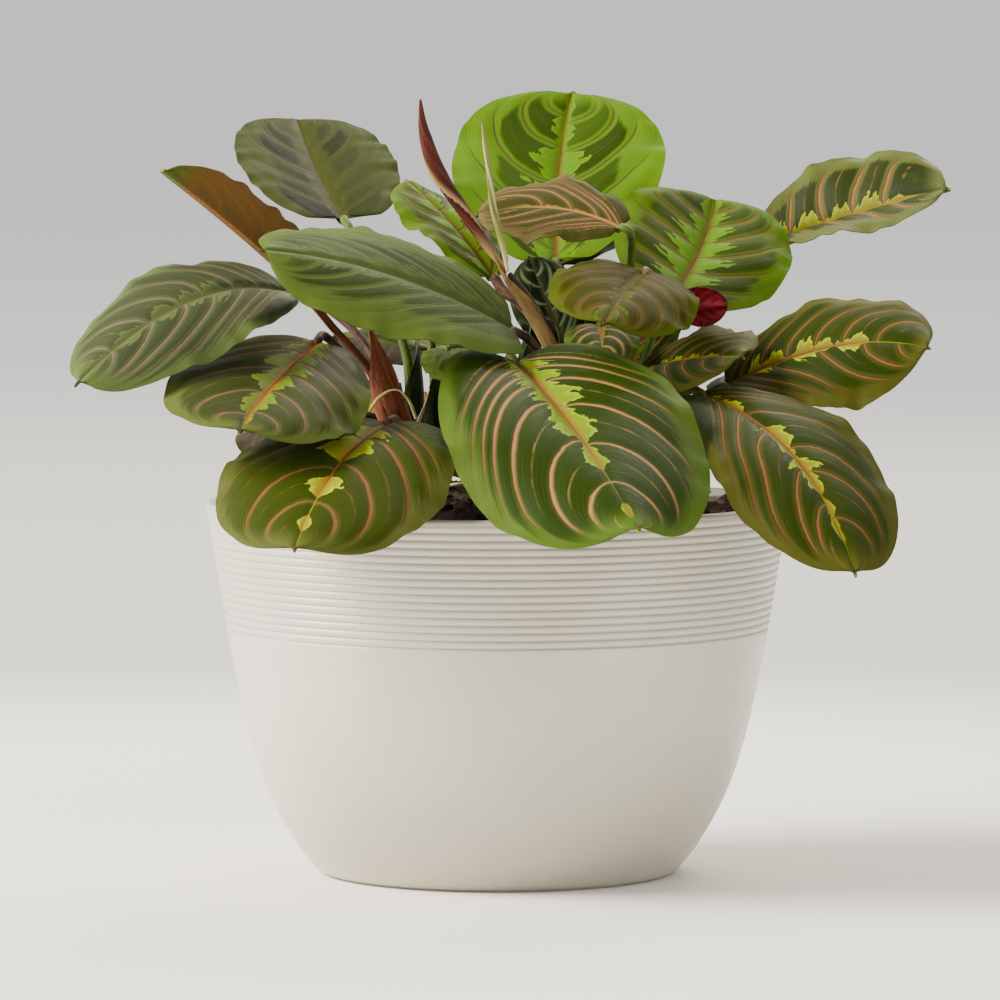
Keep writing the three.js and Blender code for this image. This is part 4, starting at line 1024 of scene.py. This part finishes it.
def paintUnder(name, look):
    paint = Paint(name, 0.55, **{"Specular IOR Level": 0.08})
    calc, ramp, mix, noise, ink = paint.calc, paint.ramp, paint.mix, paint.noise, inks(look)
    place = paint.place()
    phase, steep, out = paint.field("veinPhase"), paint.field("phasePerMm"), paint.field("outShare")
    tip, across = paint.field("tipShare"), calc("ABSOLUTE", paint.field("acrossMm"))
    cell = calc("FRACT", phase)
    fromVein = calc("MINIMUM", cell, 1 - cell) / steep
    streak = noise(paint.combine(phase * 12, out * 2), 1, 3, 0.6)
    tone = mix(ramp(noise(place, 70, 3), 0.35, 0.65), ink["under"], ink["underField"])
    tone = mix(ramp(streak, 0.45, 0.8) * 0.4, tone, ink["underVein"])
    tone = mix(ramp(fromVein, 0.75, 0.3) * ramp(out, 0.9, 0.7) * 0.7, tone, ink["underVein"])
    tone = mix(ramp(ramp(tip, 0, 1, 1.3, 0.3) - across, -0.2, 0.2), tone, ink["underVein"])
    tone = mix(ramp(tip, 0.84, 0.95, 0, look["greenTip"]), tone, ink["margin"])
    paint.base(tone)
    paint.bump(streak + noise(place, 2200, 2) * 0.4, markings["bumpUnder"])
    return paint.material


leafPaints = {
    key: (paintTop(f"leafTop{key.title()}", look), paintUnder(f"leafUnder{key.title()}", look))
    for key, look in leafLooks.items()
}
for number, (name, row) in enumerate(leafRows.items()):
    makeLeaf(name, row, number)
print("leaves grown:", len(leafRows))


# The shoots: stems and stalks with swollen joints under the blades, and sheaths round their feet

shoots = {
    "stalkRadius": 1.1, "stalkGap": 0.5, "jointLength": 8, "jointSwell": 0.12, "sheathFlare": 0.75,
    "sheathLength": 16, "soilFoot": 86, "straightTo": 104, "stalkSides": 14, "stemSides": 18,
    "nodePitch": 17, "nodeSwell": 0.12, "sheathWall": 0.35,
    # main, shade, light
    "paints": {
        "stalkRed": ("#5e2a1a", "#3a1c0c", "#74482a"), "stalkGreen": ("#3c4919", "#2b390f", "#5f6727"),
        "stalkBrown": ("#412a19", "#24150a", "#5e472d"), "stemDark": ("#3a2917", "#1f1308", "#5e4a2f"),
        "stalkBright": ("#3d4f1a", "#2b3f12", "#5f7424"), "stalkTan": ("#6a5230", "#46301a", "#8d7645"),
        "sheathRed": ("#84402c", "#56281a", "#9a6444"), "sheathDark": ("#1e2a0e", "#121808", "#3a4a1e"),
    },
    # stems and stalks that aren't plain green
    "stems": {"shoot_left": "stalkBrown", "shoot_main": "stemDark"},
    "stalks": {
        "leaf_far_left": "stalkRed", "leaf_low_left": "stalkBrown", "leaf_rim_left": "stalkRed",
        "leaf_high_left": "stalkBright", "leaf_folded_left": "stalkBrown", "leaf_pale_left": "stemDark",
        "leaf_bright_left": "stalkBrown", "leaf_middle": "stalkTan", "leaf_folded_top": "stalkBright",
        "leaf_small_red": "stalkTan", "leaf_bright_right": "stalkBright",
    },
}
shootRows = {
    "shoot_left": {"foot": (-23, -5), "way": [(-24, -4, 114)], "radius": 2.3},
    "shoot_main": {
        "foot": (21, -4), "way": [(21, -3, 115), (16, -1, 135), (7, 0, 150), (3, 0, 156)], "radius": 1.7,
    },
    "shoot_front": {"foot": (8, -12), "way": [(7, -12, 110)], "radius": 2},
    "shoot_right": {"foot": (33, -8), "way": [(33, -7, 113)], "radius": 2.1},
    "shoot_bright": {"foot": (27, 14), "way": [(28, 14, 117)], "radius": 2.2},
    "shoot_back": {"foot": (6, 20), "way": [(6, 21, 116)], "radius": 2.1},
    "shoot_back_right": {"foot": (38, 18), "way": [(38, 18, 112)], "radius": 2},
    "shoot_back_left": {"foot": (-16, 19), "way": [(-16, 19, 113)], "radius": 2},
}
# Sheaths: way, radius, how far they wrap round in degrees, which way they open, and their paint
sheaths = {
    "shoot_left": [
        ([(-23, -5, 98), (-24, -5, 110), (-29, -6, 125), (-35, -7, 141)], 3.3, 230, 200, "sheathRed"),
        ([(-22, -4, 98), (-22, -3, 112), (-23, 2, 128)], 2.3, 190, 40, "stalkTan"),
        ([(-22, -3, 98), (-22.5, 0, 112), (-23.5, 5, 128), (-26, 10, 143)], 3.4, 230, 270, "sheathDark"),
    ],
    "shoot_main": [
        ([(21, -4, 99), (21, -3, 115), (17, -1, 132), (12, 0, 142)], 2.0, 170, 180, "stalkTan"),
        ([(18, -1.8, 129), (13, -0.6, 139.5), (8, 0, 148.5), (3.6, 0.3, 156), (0.6, 1, 164)],
         2.0, 250, 90, "stalkTan"),
        ([(20.6, -3.1, 117), (19, -2, 126), (15.6, -1, 135), (10, 0, 146)], 2.2, 200, 280, "stalkGreen"),
    ],
    "shoot_bright": [
        ([(27, 14, 98), (28, 14, 112), (30, 12, 126)], 2.5, 200, 150, "stalkGreen"),
        ([(27, 14, 98), (28, 15, 116), (29, 17, 134), (31, 18, 148)], 3.2, 220, 280, "sheathDark"),
    ],
    "shoot_front": [
        ([(8, -12, 98), (7, -12, 110), (6, -11, 120)], 2.3, 190, 230, "stalkGreen"),
    ],
    "shoot_back": [
        ([(6, 20, 98), (6, 21, 112), (7, 24, 126)], 2.4, 200, 90, "stalkTan"),
        ([(6, 19, 98), (5.5, 18, 116), (4.5, 16, 134), (3, 14, 152)], 4.4, 210, 270, "sheathDark"),
    ],
    "shoot_back_right": [
        ([(38, 18, 98), (38, 18, 110), (40, 21, 121)], 2.4, 200, 60, "stalkGreen"),
    ],
    "shoot_back_left": [
        ([(-16, 19, 98), (-16, 19, 111), (-16, 21, 124)], 2.4, 200, 100, "stalkTan"),
        ([(-16, 19, 98), (-17, 18, 114), (-18, 18, 130), (-19, 19, 144)], 3.8, 220, 270, "sheathDark"),
    ],
    "shoot_right": [
        ([(33, -8, 98), (33, -7, 110), (35, -7, 119)], 2.4, 200, 250, "stalkRed"),
    ],
}


def stalkPaint(name, main, shade, light):
    paint = Paint(name, 0.42, **{"Specular IOR Level": 0.16})
    ramp, mix, noise, place = paint.ramp, paint.mix, paint.noise, paint.place()
    share, turn = paint.field("stalkShare"), paint.field("stalkTurn")
    streak = noise(paint.combine(turn * 14, share * 5), 1, 3, 0.6)
    tone = mix(ramp(streak, 0.35, 0.7), colour(main), colour(light))
    tone = mix(ramp(noise(place, 160, 3), 0.45, 0.7, 0, 0.8), tone, colour(shade))
    tone = mix(ramp(share, 0.88, 0.95, 0, 0.5), tone, colour(light))
    paint.base(tone)
    paint.bump(streak + noise(place, 1900, 2), 0.18)
    return paint.material


def stalkPart(row, paintNumber):
    base = np.array(row["midrib"][0], dtype=float)
    _, along = midribAt(row, np.array([0.0, 0.06]))
    neck = base - along[0] * row["neck"]
    path, length = curveThrough([*row["stalk"], neck, base - along[0] * shoots["stalkGap"]], 46)
    # on past the blade's foot, close under its midrib
    under, _ = midribAt(row, np.array([0.02, 0.05, 0.09]))
    down = unit(np.cross(along[1], np.cross(along[1], [0, 0, 1])))
    down = down if down[2] < 0 else -down
    path = np.vstack([path, under + down * 1.2])
    travelled = np.concatenate([[0], np.cumsum(np.linalg.norm(np.diff(path, axis=0), axis=1))])
    left = length - travelled
    joint = shoots["jointLength"]
    radii = np.full(len(path), shoots["stalkRadius"] * 0.92)
    radii = radii + shoots["sheathFlare"] * np.exp(-travelled / shoots["sheathLength"])
    radii = radii + shoots["jointSwell"] * smoothStep(left, joint, joint - 2.5) * (left > -1)
    radii = np.where(left < 0, np.maximum(0.7 + left * 0.08, 0.25), radii)
    points, faces, share, turn = sweep(path, radii, shoots["stalkSides"])
    return points, faces, paintNumber, {"stalkShare": share, "stalkTurn": turn}


def stemPart(shoot, paintNumber):
    x, y = shoot["foot"]
    ways = [(x, y, shoots["soilFoot"]), (x, y, soil["edge"]), (x, y, shoots["straightTo"]), *shoot["way"]]
    path, length = curveThrough(ways, 40)
    height = np.linspace(0, length, len(path))
    pitch = shoots["nodePitch"]
    swell = shoots["nodeSwell"] * np.exp(-(((height + 4) % pitch - pitch / 2) / 1.2) ** 2)
    radii = shoot["radius"] * (0.96 + swell) * (1 - 0.6 * smoothStep(height, length - 8, length))
    points, faces, share, turn = sweep(path, radii, shoots["stemSides"])
    return points, faces, paintNumber, {"stalkShare": share * 0.9, "stalkTurn": turn}


def sheathPart(way, radius, wrap, turnBy, paintNumber, steps=26, wall=shoots["sheathWall"]):
    # a thin leaf sheath wrapped part of the way round a stalk, pointed at its top
    path, _ = curveThrough(way, steps)
    _, side, up = framesAlong(path)
    share = np.linspace(0, 1, len(path))
    width = math.radians(wrap) * (1 - smoothStep(share, 0.45, 1.02) * 0.93)
    bands = np.linspace(-0.5, 0.5, 15)
    inner, outer = [], []
    for k in range(len(path)):
        angle = bands * width[k] + math.radians(turnBy) + 0.5 * share[k]
        size = radius * (1 + 0.18 * share[k] + 0.10 * np.abs(bands) * 2)
        direction = np.outer(np.cos(angle), side[k]) + np.outer(np.sin(angle), up[k])
        inner.append(path[k] + direction * size[:, None])
        outer.append(path[k] + direction * (size + wall)[:, None])
    n, m = len(path), len(bands)
    fields = {"stalkShare": np.tile(np.repeat(share * 0.9, m), 2), "stalkTurn": np.tile(bands + 0.5, 2 * n)}
    return np.vstack(outer + inner), np.concatenate(slabFaces(n, m)), paintNumber, fields


def makeShoot(name, shoot):
    paints = list(shoots["paints"])
    parts = [stemPart(shoot, paints.index(shoots["stems"].get(name, "stalkGreen")))]
    for leafName, row in leafRows.items():
        if row["shoot"] == name:
            parts.append(stalkPart(row, paints.index(shoots["stalks"].get(leafName, "stalkGreen"))))
    for way, radius, wrap, turnBy, paint in sheaths[name]:
        parts.append(sheathPart(way, radius, wrap, turnBy, paints.index(paint)))
    points, faces, numbers, fields = joinParts(parts)
    piece = makePiece(name + "_growth", points, faces, stalkPaints, fields, numbers)
    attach(piece, "root")
    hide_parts(name)
    "stem_brown" if name in shoots["stems"] else "stem_green"


stalkPaints = [stalkPaint(key, *tones) for key, tones in shoots["paints"].items()]
for name, shoot in shootRows.items():
    makeShoot(name, shoot)
print("shoots grown:", len(shootRows))


# Two new leaves, still rolled up round themselves

rolled = {
    "rolled_leaf_red": {
        "way": [(2.6, 0.85, 156.5), (-2.5, 2.8, 162.5), (-9, 5, 172), (-15, 5, 181), (-19, 4, 193),
                (-20, 3, 201)],
        "radii": (0.75, 1.4, 1.9, 2.4, 1.8, 0.35), "turns": 1.1,
        "edge": "#a98a5c", "main": "#5b2a1c", "shade": "#3b1712",
    },
    "rolled_leaf_pale": {
        "way": [(2.7, -0.95, 156.5), (1.2, -1.9, 164), (-1, -1, 172), (-2, 0, 180), (-4, 1, 195)],
        "radii": (0.5, 0.9, 1, 0.8, 0.3), "turns": 0.8,
        "edge": "#cfc487", "main": "#98904f", "shade": "#5c6a2c",
    },
}
# overlap is the step where the outer edge of the roll lies
rolledShape = {"steps": 70, "sides": 40, "widest": 1.04, "overlap": 0.34}


def rolledPaint(name, row):
    paint = Paint(name, 0.42, **{"Specular IOR Level": 0.14})
    ramp, mix, ink = paint.ramp, paint.mix, inks(row)
    share, seam = paint.field("stalkShare"), paint.field("seamShare")
    streak = paint.noise(paint.combine(seam * 10, share * 3), 1, 3, 0.6)
    tone = mix(ramp(streak, 0.35, 0.65), ink["main"], ink["shade"])
    edge = paint.calc("MAXIMUM", ramp(seam, 0.16, 0.03), ramp(share, 0.30, 0.02))
    paint.base(mix(edge, tone, ink["edge"]))
    paint.bump(streak, 0.2)
    return paint.material


def makeRolled(name, row):
    path, _ = curveThrough(row["way"], rolledShape["steps"])
    marks = np.linspace(0, len(row["radii"]) - 1, len(path))
    radii = np.interp(marks, range(len(row["radii"])), row["radii"])
    twist = fullTurn * row["turns"] / len(path)
    seams = []

    def ring(angles, k):
        seam = ((angles + twist * k) / fullTurn) % 1
        seams.append(seam)
        return rolledShape["widest"] - rolledShape["overlap"] * seam ** 1.5

    points, faces, share, _ = sweep(path, radii, rolledShape["sides"], ring)
    fields = {"stalkShare": share, "seamShare": np.concatenate([*seams, [0.5, 0.5]])}
    skin = rolledPaint(name + "Skin", row)
    piece = makePiece(name.replace("leaf", "up_leaf"), points, faces, [skin], fields, sharp=45)
    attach(piece, "root")
    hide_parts(name)


for name, row in rolled.items():
    makeRolled(name, row)


# Dry bits: threads by the left stalks and on the soil, and papery shreds at the feet of the stalks

dry = {
    "threads": [
        [(-33, -12, 121), (-30, -14, 125), (-26, -15, 126.5), (-23, -15, 124), (-21, -14, 119)],
        [(-14, -14, 101.5), (-9, -18, 102.5), (-4, -17, 101.8), (1, -21, 101.5)],
        [(44, -16, 100.5), (50, -19, 101), (55, -17, 100.2)],
    ],
    # way, radius, how far they wrap round in degrees, which way they open
    "shreds": [
        ([(-25, -8, 100), (-24, -9, 109), (-22, -9, 119), (-20, -8, 127)], 1.9, 120, 250),
        ([(-20, -7, 100), (-19, -8, 108), (-18, -8, 114)], 1.8, 100, 230),
        ([(12, -12, 100), (12, -13, 107), (13, -13, 113)], 1.6, 110, 240),
    ],
    "threadRadius": 0.32, "threadUneven": 0.10, "shredWall": 0.22,
    "threadTones": ("#c4ae74", "#7e6a4f", "#fffba8"), "shredTones": ("#c8a464", "#5a4428", "#ffffbd"),
}


def makeDryBits():
    parts = []
    for way in dry["threads"]:
        path, _ = curveThrough(way, 30)
        radii = dry["threadRadius"] + dry["threadUneven"] * np.sin(np.linspace(0, 9, len(path)))
        points, faces, share, turn = sweep(path, radii, 8)
        parts.append((points, faces, 0, {"stalkShare": share, "stalkTurn": turn}))
    for shred in dry["shreds"]:
        parts.append(sheathPart(*shred, 1, 24, dry["shredWall"]))
    points, faces, numbers, fields = joinParts(parts)
    paints = [stalkPaint("dryThread", *dry["threadTones"]), stalkPaint("dryPaper", *dry["shredTones"])]
    piece = makePiece("dry_bits", points, faces, paints, fields, numbers)
    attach(piece, "root")


makeDryBits()
print("rolled leaves and dry bits added")


# Floor, light and camera

stage = {
    "floorNear": "#f3f0ea", "floorGrain": "#ebe8e1", "floorMiddle": "#bebfbc", "floorFar": "#fefefe",
    "nearTo": 0.30, "middleAt": 0.62, "farFrom": 3.5, "floorEnd": 300,  # metres from the pot
    "sky": "#dcdddb", "skyStrength": 1.12,
    "lights": {
        # place in metres, size, power in watts, tone
        "windowLight": ((-1.85, -0.2, 1.3), 1.5, 172, "#fff8ee"),
        "roomFill": ((1.4, -1.6, 0.9), 1.8, 12, "#f8f7f4"),
        "backLight": ((0.4, 1.3, 1.3), 1.0, 26, "#fff4de"),
    },
    "lightAim": (0, 0, 0.12),
}
camera = {
    "target": (0.00065, 0, 0.097), "place": (0.00065, -1.8, 0.2229), "lens": 249.8, "sensor": 36,
    "clip": (0.05, 1000),
}


def aim(item, target):
    item.rotation_euler = (Vector(target) - item.location).to_track_quat("-Z", "Y").to_euler()


def makeStage():
    end = stage["floorEnd"] / mm
    paint = Paint("paleFloor", 0.7, **{"Specular IOR Level": 0.0})
    place, ink = paint.place(), inks(stage)
    node = paint.tree.nodes.new("ShaderNodeVectorMath")
    node.operation = "LENGTH"
    paint.put(node.inputs[0], place)
    middle = paint.ramp(node.outputs["Value"], stage["nearTo"], stage["middleAt"])
    far = paint.ramp(node.outputs["Value"], stage["middleAt"], stage["farFrom"])
    grain = paint.ramp(paint.noise(place, 60, 4), 0.3, 0.7, 0, 0.12)
    near = paint.mix(grain, ink["floorNear"], ink["floorGrain"])
    paint.base(paint.mix(far, paint.mix(middle, near, ink["floorMiddle"]), ink["floorFar"]))
    corners = [(-end, -end, 0), (end, -end, 0), (end, end, 0), (-end, end, 0)]
    floor = makePiece("floor", corners, [[0, 1, 2, 3]], [paint.material])
    world = bpy.data.worlds.new("softRoom")
    world.use_nodes = True
    world.node_tree.nodes["Background"].inputs["Color"].default_value = ink["sky"]
    world.node_tree.nodes["Background"].inputs["Strength"].default_value = stage["skyStrength"]
    bpy.context.scene.world = world
    for name, (where, size, power, tone) in stage["lights"].items():
        lamp = bpy.data.lights.new(name, "AREA")
        lamp.shape, lamp.size, lamp.energy = "DISK", size, power
        lamp.color = colour(tone)[:3]
        item = bpy.data.objects.new(name, lamp)
        item.location = where
        bpy.context.scene.collection.objects.link(item)
        aim(item, stage["lightAim"])


def makeCamera():
    data = bpy.data.cameras.new("photoView")
    data.lens, data.sensor_width = camera["lens"], camera["sensor"]
    data.clip_start, data.clip_end = camera["clip"]
    item = bpy.data.objects.new("photoView", data)
    item.location = camera["place"]
    bpy.context.scene.collection.objects.link(item)
    aim(item, camera["target"])
    bpy.context.scene.camera = item


makeStage()
makeCamera()
print("floor, light and camera set")
